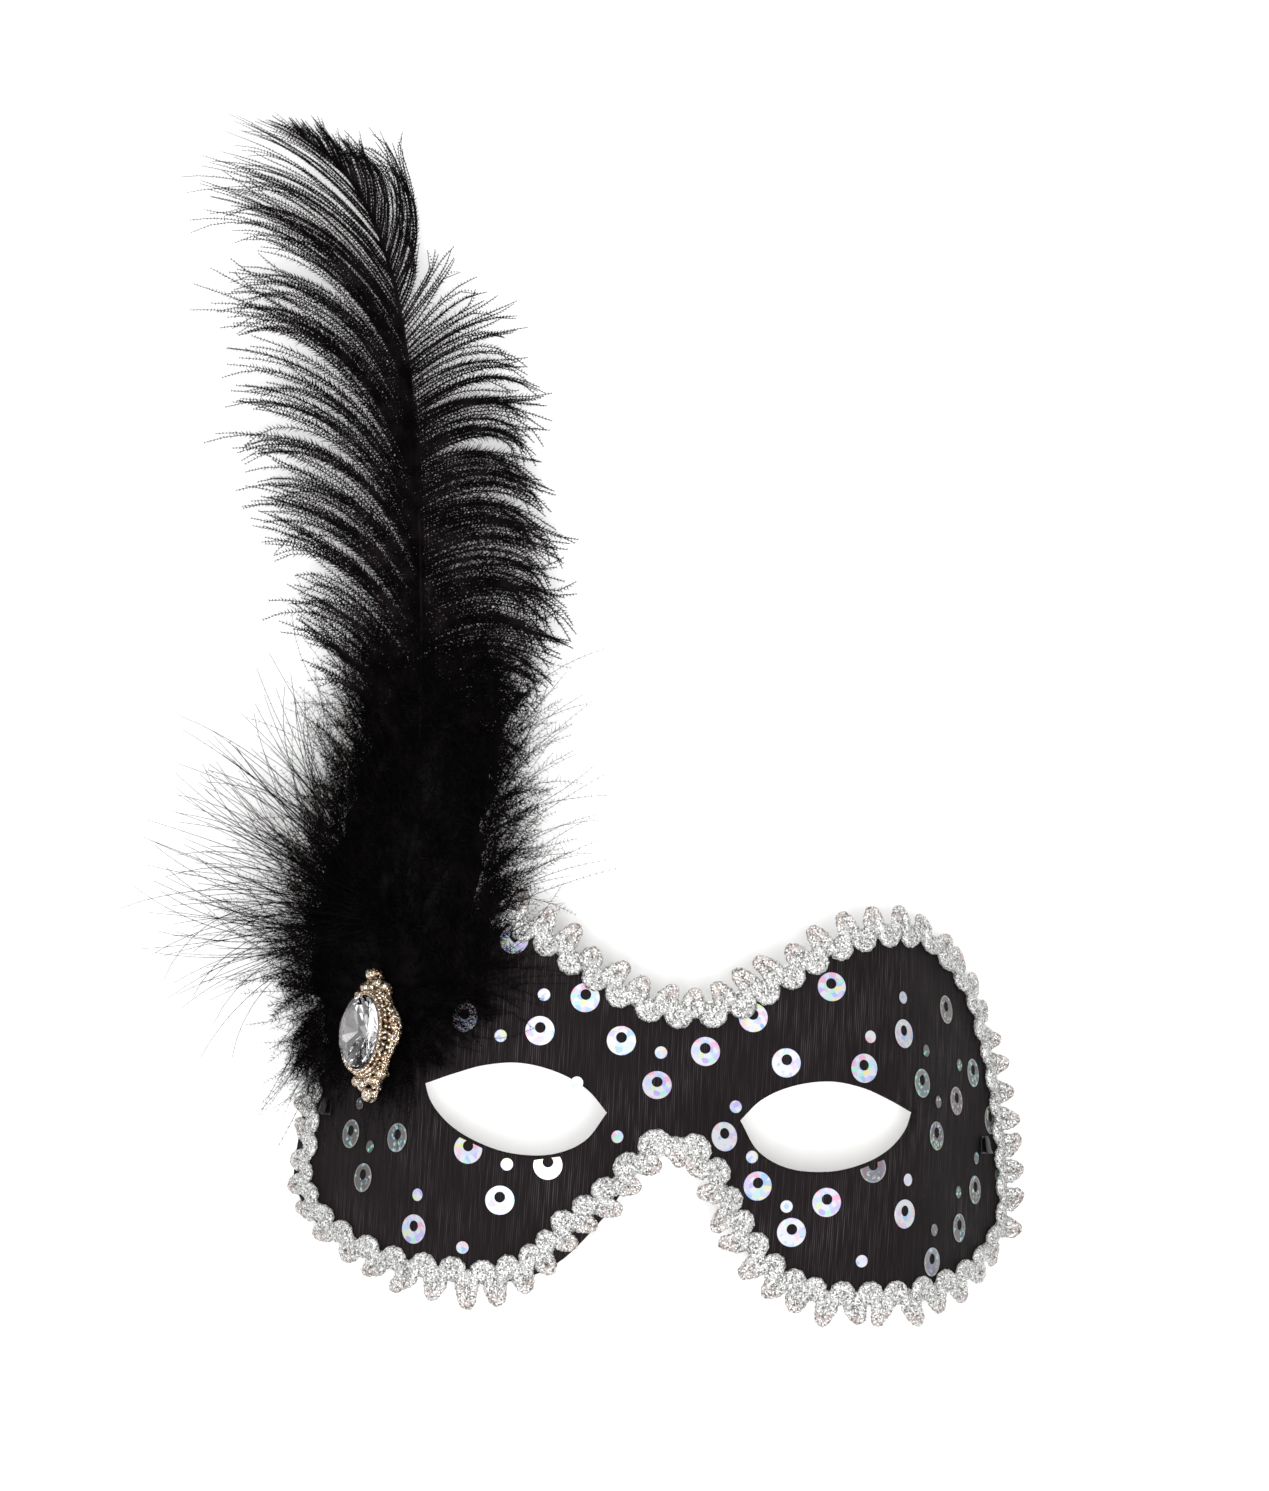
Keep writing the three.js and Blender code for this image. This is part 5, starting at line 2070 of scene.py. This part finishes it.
@dataclass
class Plume:
    """Ostrich plume: a curved quill with long soft barbs on both sides."""

    maker: Maker
    recipe: FeatherRecipe
    quill_radius: float = 1.05
    tip_radius: float = 0.3
    quill_rows: int = 90
    quill_sides: int = 10
    steps: int = 16
    crest: float = 0.995
    unevenness: float = 0.07
    bend: float = 1.5
    shaft_radius: float = 0.2
    shaft_taper: float = 0.7
    thinner_at_tip: float = 0.4
    floor: float = 2.5
    lengths: Pair = (0.76, 1.06)
    stray_leave: float = 3.0
    stray_end: float = 11.0
    droops: Pair = (0.2, 0.8)
    droop_turn: float = 0.35
    barbules: Barbules = Barbules(spacing=0.85, length=2.9, width=0.16, spread=1.0, stray=0.55)
    clumps: tuple[tuple[int, int, float], ...] = ((7, 17, 0.3), (2, 5, 0.5))
    gathering: Keyed = Keyed(((0, 0), (0.25, 0.2), (0.65, 1.0), (0.85, 0.9), (1, 0.55)))
    fluff: Keyed = Keyed(((0, 1.0), (0.4, 0.85), (0.6, 0.5), (0.75, 0.3), (1, 0.2)))
    taper: Keyed = Keyed(((0, 1.0), (0.5, 1.0), (0.72, 0.8), (0.88, 0.5), (1, 0.2)))
    left: VaneShape = VaneShape(
        foot=0.31,
        leave=Keyed(((0, 37), (0.09, 33), (0.18, 28), (0.36, 22), (0.5, 24), (0.74, 40), (1, 58))),
        end=Keyed(((0, 70), (0.09, 78), (0.18, 93), (0.27, 98), (0.36, 92), (0.5, 86), (0.74, 84), (1, 66))),
        length=Keyed((
            (0, 36), (0.02, 42), (0.09, 51), (0.18, 60), (0.27, 67), (0.36, 72), (0.5, 71), (0.6, 65),
            (0.74, 49), (0.88, 28), (1, 10),
        )),
        barbs=340,
        missing=Keyed(((0, 0.0), (0.4, 0.1), (0.6, 0.3), (0.8, 0.5), (1, 0.65))),
        curl=20.0,
        body=1.1,
    )
    right: VaneShape = VaneShape(
        foot=0.29,
        leave=Keyed((
            (0, 58), (0.3, 60), (0.5, 54), (0.55, 50), (0.615, 44), (0.667, 28), (0.78, 12), (0.875, -12),
            (1, -45),
        )),
        end=Keyed((
            (0, 140), (0.3, 138), (0.5, 128), (0.55, 105), (0.6, 80), (0.64, 40), (0.662, 12), (0.70, -58),
            (1, -54),
        )),
        length=Keyed((
            (0, 22), (0.1, 32), (0.2, 36), (0.35, 37), (0.55, 33), (0.615, 31), (0.64, 27), (0.678, 24),
            (0.71, 40), (0.78, 33), (0.875, 18), (1, 7),
        )),
        barbs=430,
        missing=Keyed(((0, 0.0), (0.52, 0.0), (0.6, 0.35), (0.68, 0.5), (0.72, 0.15), (1, 0.0))),
        curl=38.0,
        body=1.35,
    )
    quill: Triples = (
        (-71.6, 9, 28), (-70, 24, 26.6), (-67.8, 41, 30.6), (-65.7, 61, 36), (-66, 97, 40), (-68.2, 130, 41),
        (-70.1, 149, 40), (-72.6, 170, 37), (-76, 188, 33.5), (-79.3, 201, 30), (-84, 213, 27),
        (-88.7, 221.5, 24), (-95.5, 229.5, 20.5), (-103.2, 235.4, 16),
    )

    def _quill(self, line: Spline) -> Piece:
        """Tapered round quill.

        Args:
            line: Middle line.

        Returns:
            The quill.
        """
        share = np.linspace(0, 1, self.quill_rows)
        tangent = line.tangent(share)
        wide = unit(np.cross(tangent, UP))
        circle = oval(turns(self.quill_sides)) @ np.stack([wide, np.cross(wide, tangent)], axis=1)
        radius = self.quill_radius + (self.tip_radius - self.quill_radius) * share
        points = line.at(share)[:, None] + circle * radius[:, None, None]
        faces = tube_faces(self.quill_rows, self.quill_sides)
        return self.maker.outward(self.maker.mesh("plume_quill", points.reshape(-1, 3), faces))

    def _barbs(self, line: Spline, side: Side, vane: VaneShape) -> tuple[Array, Array, Array]:
        """Lays the barbs of one side.

        Args:
            line: The quill.
            side: Side of the quill.
            vane: How its barbs run.

        Returns:
            Points, shaft radii and barbule shares.
        """
        rng = np.random.default_rng(31 + side.value)
        count = vane.barbs
        v = np.sort((np.arange(count) + rng.uniform(-0.4, 0.4, count)).clip(0, count - 1)) / (count - 1)
        v = v[rng.random(count) >= vane.missing.at(v)]
        lock = rng.normal(1, self.unevenness, count)[np.arange(len(v)) // self.clumps[0][0]]
        count = len(v)
        stride = vane.length.at(v) * rng.uniform(*self.lengths, count) * lock / self.steps
        leave = np.radians(vane.leave.at(v) + rng.normal(0, self.stray_leave, count))
        end = np.radians(vane.end.at(v) + rng.normal(0, self.stray_end, count))
        curl = np.radians(rng.normal(0, vane.curl, count))
        droop = rng.uniform(*self.droops, count)
        paths = np.zeros((count, self.steps + 1, 3))
        p = paths[:, 0] = line.at(vane.foot + (self.crest - vane.foot) * v)
        for i in range(1, self.steps + 1):
            t = (i - 0.5) / self.steps
            heading = leave + (end - leave) * t**self.bend + curl * t**4
            fall = droop * (self.droop_turn - t)
            way = np.stack([np.sin(heading) * side.value, np.cos(heading), fall], axis=-1)
            p = p + way * stride[:, None]
            p[:, 2] = np.maximum(p[:, 2], self.floor)
            paths[:, i] = p
        self._gather(paths, rng)
        t = np.linspace(0, 1, self.steps + 1)
        thinner = 1 - self.thinner_at_tip * v[:, None]
        radii = self.shaft_radius * (vane.body - self.shaft_taper * t) * thinner
        fluff = self.fluff.at(v)[:, None] * self.taper.at(t) * (1 + (vane.body - 1) * (1 - t))
        return paths, radii, fluff

    def _gather(self, paths: Array, rng: np.random.Generator) -> None:
        """Draws neighbouring barbs together, first in broad locks and then in narrow ones.

        Args:
            paths: Points of the barbs, changed in place.
            rng: Random numbers.
        """
        reach = self.gathering.at(np.linspace(0, 1, paths.shape[1]))[None, :, None]
        for least, most, pull in self.clumps:
            first = 0
            while first < len(paths):
                size = int(rng.integers(least, most))
                group = paths[first : first + size]
                group += (group.mean(axis=0, keepdims=True) - group) * pull * reach
                first += size

    def build(self) -> None:
        """Builds, dresses and hands over the quill and both vanes."""
        line, feather = Spline(self.quill), BlackFeather().material()
        self.maker.hand_over(self._quill(line), Slot.FEATHER, "ostrich_plume", finish=feather)
        for side, shape in ((Side.LEFT, self.left), (Side.RIGHT, self.right)):
            name, barbs = f"plume_vane_{side.name.lower()}", self._barbs(line, side, shape)
            vane = self.recipe.grow(name, *barbs, self.barbules, feather)
            self.maker.hand_over(vane, Slot.FEATHER)


@dataclass(frozen=True)
class Coat:
    """One layer of the down."""

    strands: int
    length: Pair
    stray: float
    shaft_radius: float
    barbules: Barbules


@dataclass
class Down:
    """Black down glued at the plume's foot: a dense coat over the temple, and long wisps on the left."""

    maker: Maker
    recipe: FeatherRecipe
    brooch: Brooch
    extent: Pair = (8.0, 103.0)
    left: Keyed = Keyed(((0, -83), (20, -87), (36, -88), (55, -87), (75, -80), (90, -78), (110, -74)))
    right: Keyed = Keyed(
        ((0, -66), (12, -62), (20, -57), (31, -51), (45, -48), (70, -47), (90, -48), (110, -56))
    )
    ridge: Keyed = Keyed(((0, 30), (20, 32), (33, 35), (45, 38), (61, 41), (97, 42), (110, 42)))
    along: Keyed = Keyed(((0, -1.0), (18, -0.8), (28, 0.1), (40, 0.9), (70, 1.3), (110, 1.8)))
    aside: Keyed = Keyed(((0, 0.3), (18, 0.5), (28, 1.0), (50, 0.8), (110, 0.5)))
    room: Keyed = Keyed(((0, 0.6), (20, 0.75), (40, 1.0)))
    off_face: Pair = (25.0, 45.0)
    fall: Pair = (0.35, 0.1)
    coats: tuple[Coat, ...] = (
        Coat(900, (8, 15), 24, 0.13, Barbules(1.0, 3.6, 0.13, 0.9, 0.8)),
        Coat(720, (14, 25), 16, 0.10, Barbules(1.0, 3.2, 0.07, 0.9, 0.8)),
        Coat(280, (24, 38), 14, 0.11, Barbules(1.6, 2.0, 0.06, 0.9, 0.8)),
    )
    coat_curl: float = 30.0
    coat_depths: Pair = (-3.0, 2.0)
    coat_rise: Pair = (1.0, 2.5)
    coat_taper: float = 0.6
    coat_fluff: Keyed = Keyed(((0, 0.8), (0.2, 1.0), (0.8, 0.8), (1, 0.3)))
    core_stations: int = 30
    core_sides: int = 20
    core_margin: float = 0.5
    core_depth: float = 3.0
    core_flatness: float = 0.8
    core_ragged: Pair = (0.78, 1.08)
    core_edge: int = 6
    sink: Keyed = Keyed(((0, 0.0), (85, 0.0), (95, 2.5), (110, 5.0)))
    wisps: Coat = Coat(140, (38.0, 57.0), 26, 0.14, Barbules(2.4, 2.4, 0.045, 0.9, 0.8))
    wisp_root: Triple = (-70.0, 42.0, 37.0)
    wisp_patch: float = 2.5
    wisp_foot: float = 30.0
    wisp_headings: Pair = (30.0, 116.0)
    wisp_slopes: Pair = (-14.0, 8.0)
    wisp_sag: float = 4.0
    wisp_bend: float = 1.5
    wisp_taper: float = 0.5
    wisp_fluff: Keyed = Keyed(((0, 1.0), (0.3, 0.7), (1, 0.2)))
    steps: int = 10
    over_face: float = 1.5
    drape: float = 3.6
    floor: float = 3.2
    brooch_room: Triple = (12.0, 18.0, 1.2)
    eye_margin: float = 2.0

    def _lowest(self, points: Array) -> Array:
        """Least height of the down over the trim and the floor."""
        form, x, y = self.maker.mask.form, points[..., 0], points[..., 1]
        return np.maximum(form.height(x, y) + self.drape / form.normal(x, y)[..., 2], self.floor)

    def _surface(self, points: Array) -> Array:
        """Height of the middle of the coat: close to the face at the temple, along the plume above it.

        Args:
            points: Places in plan.

        Returns:
            The heights.
        """
        x, y = points[..., 0], points[..., 1]
        aside = x - (self.left.at(y) + self.right.at(y)) / 2
        fall = self.fall[0] * np.maximum(-aside, 0) + self.fall[1] * np.maximum(aside, 0)
        share = np.clip((y - self.off_face[0]) / (self.off_face[1] - self.off_face[0]), 0, 1)
        return (self._lowest(points) + self.over_face) * (1 - share) + (self.ridge.at(y) - fall) * share

    def _settle(self, paths: Array) -> Array:
        """Keeps strands over the mask and under the brooch, and drops those that cross an eye hole.

        Args:
            paths: Points of the strands.

        Returns:
            The strands that are left.
        """
        paths[..., 2] = np.maximum(paths[..., 2], self._lowest(paths))
        axes, (half_width, half_height, depth) = self.brooch.axes(), self.brooch_room
        local = (paths - self.brooch.origin()) @ axes.T
        inside = np.hypot(local[..., 0] / half_width, local[..., 1] / half_height) < 1.0
        above = np.maximum(local[..., 2] + depth, 0.0) * inside
        paths = paths - above[..., None] * axes[2]
        return paths[~self.maker.mask.in_eye(paths, Side.LEFT, self.eye_margin).any(axis=1)]

    def _strands(self, coat: Coat, seed: int) -> Array:
        """Lays the strands of one layer, combed up and aside from the brooch, and down beside it.

        Args:
            coat: The layer.
            seed: Seed of the random numbers.

        Returns:
            Points of the strands.
        """
        rng = np.random.default_rng(seed)
        n = coat.strands
        y = rng.uniform(*self.extent, n)
        across = np.sin(rng.uniform(-0.5, 0.5, n) * math.pi)
        left, right = self.left.at(y), self.right.at(y)
        heading = np.arctan2(self.aside.at(y) * across, self.along.at(y))
        heading += np.radians(rng.normal(0, coat.stray, n))
        curl = np.radians(rng.normal(0, self.coat_curl, n))
        stride = rng.uniform(*coat.length, n) * self.room.at(y) / self.steps
        paths = np.zeros((n, self.steps + 1, 3))
        paths[:, 0, 0], paths[:, 0, 1] = (left + right) / 2 + across * (right - left) / 2, y
        for i in range(1, self.steps + 1):
            turn = heading + curl * i / self.steps
            way = np.stack([np.sin(turn), np.cos(turn), np.zeros(n)], axis=-1)
            paths[:, i] = paths[:, i - 1] + way * stride[:, None]
        depth, rise = rng.uniform(*self.coat_depths, n), rng.normal(*self.coat_rise, n)
        t = np.linspace(0, 1, self.steps + 1)
        paths[..., 2] = self._surface(paths) + (depth[:, None] + rise[:, None] * t)
        return self._settle(paths)

    def _core(self) -> Piece:
        """Dense black middle of the coat, which the strands hide.

        Returns:
            The middle.
        """
        low, high = self.extent
        share = 0.5 - 0.5 * np.cos(np.linspace(0.02, 0.98, self.core_stations) * math.pi)
        y = low + (high - low) * share
        left, right = self.left.at(y), self.right.at(y)
        swelling = np.sqrt(1 - (2 * share - 1) ** self.core_edge)
        half = ((right - left) / 2 - self.core_margin) * swelling
        angle = turns(self.core_sides)
        points = np.zeros((self.core_stations, self.core_sides, 3))
        points[..., 1] = y[:, None]
        ragged = np.random.default_rng(17).uniform(*self.core_ragged, points.shape[:2])
        points[..., 0] = ((left + right) / 2)[:, None] + half[:, None] * np.cos(angle) * ragged
        middle = self._surface(points) - self.core_depth - self.sink.at(y)[:, None]
        height = (self.core_depth * swelling)[:, None] * np.sin(angle) * self.core_flatness
        points[..., 2] = np.maximum(middle + height, self._lowest(points) - self.over_face)
        faces = tube_faces(self.core_stations, self.core_sides)
        return self.maker.outward(self.maker.mesh("down_core", points.reshape(-1, 3), faces))

    def _wisps(self, seed: int) -> Array:
        """Lays long thin strands that stand out on the left.

        Args:
            seed: Seed of the random numbers.

        Returns:
            Points of the strands.
        """
        rng = np.random.default_rng(seed)
        n = self.wisps.strands
        t = np.linspace(0, 1, self.steps + 1)[None, :]
        start = np.radians(rng.uniform(*self.wisp_headings, n))
        length = rng.uniform(*self.wisps.length, n)[:, None]
        turn = np.radians(rng.normal(0, self.wisps.stray, n))[:, None]
        heading = start[:, None] + turn * t**self.wisp_bend
        root = np.array(self.wisp_root) + rng.normal(0, self.wisp_patch, (n, 3))
        root[:, 1] += rng.uniform(0, self.wisp_foot, n) * np.cos(start) ** 2
        x = root[:, :1] - np.cumsum(np.sin(heading) * length / self.steps, axis=1)
        y = root[:, 1:2] + np.cumsum(np.cos(heading) * length / self.steps, axis=1)
        slope = np.tan(np.radians(rng.normal(*self.wisp_slopes, n)))[:, None]
        sag = rng.normal(0, self.wisp_sag, n)[:, None]
        return self._settle(np.stack([x, y, root[:, 2:] + slope * length * t + sag * t**2], axis=-1))

    def build(self) -> None:
        """Builds, dresses and hands over the down."""
        feather = BlackFeather("black_down", (0.0008, 0.0006, 0.0006), (0.003, 0.002, 0.002)).material()
        self.maker.hand_over(self._core(), Slot.FEATHER, "down_plume", finish=feather)
        bundles = [
            (f"down_coat_{seed}", coat, self._strands(coat, seed), self.coat_taper, self.coat_fluff)
            for seed, coat in enumerate(self.coats, start=3)
        ]
        bundles.append(("down_wisps", self.wisps, self._wisps(8), self.wisp_taper, self.wisp_fluff))
        t = np.linspace(0, 1, self.steps + 1)
        for name, coat, paths, taper, fluff in bundles:
            radius = coat.shaft_radius * (1 - taper * t)
            grown = self.recipe.grow(name, paths, radius, fluff.at(t), coat.barbules, feather)
            self.maker.hand_over(grown, Slot.FEATHER)


# Room


@dataclass(frozen=True)
class Lamp:
    """Soft square lamp: its place and width in millimetres and its power in watts."""

    name: str
    place: Triple
    width: float
    power: float


@dataclass
class Studio:
    """Pale floor, soft light and the camera that looks down on the mask."""

    maker: Maker
    image: tuple[int, int] = (1269, 1491)
    focal_pixels: float = 5000.0
    distance: float = 1200.0
    yaw: float = math.radians(4.5)
    pitch: float = math.radians(-3.0)
    roll: float = math.radians(3.5)
    target: Triple = (0.0, 0.0, 46.0)
    target_pixel: Pair = (670.5, 1118.5)
    floor_half: float = 4000.0
    floor_colour: Colour = (0.93, 0.93, 0.93)
    floor_roughness: float = 0.8
    lamps: tuple[Lamp, ...] = (
        Lamp("front", (-90, -60, 1300), 240, 13),
        Lamp("key", (-700, 500, 1500), 700, 7),
        Lamp("fill", (900, -300, 1300), 900, 4),
    )
    room_light: float = 0.55

    def _put(self, data: bpy.types.ID, place: Array, right: Array, top: Array, back: Array) -> Piece:
        """Puts a camera or a lamp at a place in the mask's frame, turned to its three axes.

        Args:
            data: The camera or lamp.
            place: Its place.
            right: Its X axis.
            top: Its Y axis.
            back: Its Z axis, which it looks away from.

        Returns:
            Object that holds it.
        """
        holder = link(bpy.data.objects.new(data.name, data))
        turned = Matrix(np.stack([right, top, back], axis=1).tolist()).to_4x4()
        turned.translation = self.maker.mask.to_metres(place).tolist()
        holder.matrix_world = turned
        return holder

    def _camera(self) -> None:
        """Places the camera so that the target falls on its pixel."""
        back = np.array([-math.sin(self.yaw), math.tan(self.pitch), math.cos(self.yaw)])
        back *= math.cos(self.pitch)
        level = unit(np.cross(NORTH, back))
        upright = np.cross(back, level)
        right = level * math.cos(self.roll) + upright * math.sin(self.roll)
        top = upright * math.cos(self.roll) - level * math.sin(self.roll)
        width, height = self.image
        across = (self.target_pixel[0] - width / 2) * self.distance / self.focal_pixels
        above = (height / 2 - self.target_pixel[1]) * self.distance / self.focal_pixels
        place = np.array(self.target) - right * across - top * above + back * self.distance
        camera = bpy.data.cameras.new("camera")
        camera.sensor_fit = "VERTICAL"
        camera.sensor_height = 24.0
        camera.lens = self.focal_pixels / height * camera.sensor_height
        camera.clip_end = 20.0
        bpy.context.scene.camera = self._put(camera, place, right, top, back)

    def _floor(self) -> None:
        """Lays the floor under the mask."""
        corners = np.array([(-1, -1, 0), (1, -1, 0), (1, 1, 0), (-1, 1, 0)]) * self.floor_half
        floor = self.maker.mesh("floor", corners, [[0, 1, 2, 3]], smooth=False)
        paint = Paint("pale_floor")
        finish = paint.surface(Base_Color=self.floor_colour, Roughness=self.floor_roughness)
        floor.data.materials.append(finish)

    def _light(self, lamp: Lamp) -> None:
        """Hangs a lamp that looks at the mask.

        Args:
            lamp: The lamp.
        """
        light = bpy.data.lights.new(lamp.name, "AREA")
        light.shape = "SQUARE"
        light.size = lamp.width * MM
        light.energy = lamp.power
        back = unit(np.array(lamp.place) - self.target)
        right = unit(np.cross(NORTH + 0.01 * UP, back))
        self._put(light, np.array(lamp.place), right, np.cross(back, right), back)

    def build(self) -> None:
        """Builds the room."""
        self._camera()
        self._floor()
        for lamp in self.lamps:
            self._light(lamp)
        bpy.context.scene.view_settings.view_transform = "Standard"
        world = bpy.data.worlds.new("studio")
        world.use_nodes = True
        background = world.node_tree.nodes["Background"]
        background.inputs["Color"].default_value = (1.0, 1.0, 1.0, 1.0)
        background.inputs["Strength"].default_value = self.room_light
        bpy.context.scene.world = world


def main() -> None:
    """Builds the room and every piece in order."""
    logging.basicConfig(level=logging.INFO, format="%(name)s: %(message)s")
    maker = Maker(MaskForm(FaceForm()))
    Studio(maker).build()
    Sheets(maker).build()
    Braid(maker).build()
    Sequins(maker).build()
    brooch = Brooch(maker)
    brooch.build()
    RibbonTabs(maker).build()
    recipe = FeatherRecipe(maker)
    Plume(maker, recipe).build()
    Down(maker, recipe, brooch).build()


if __name__ == "__main__":
    main()
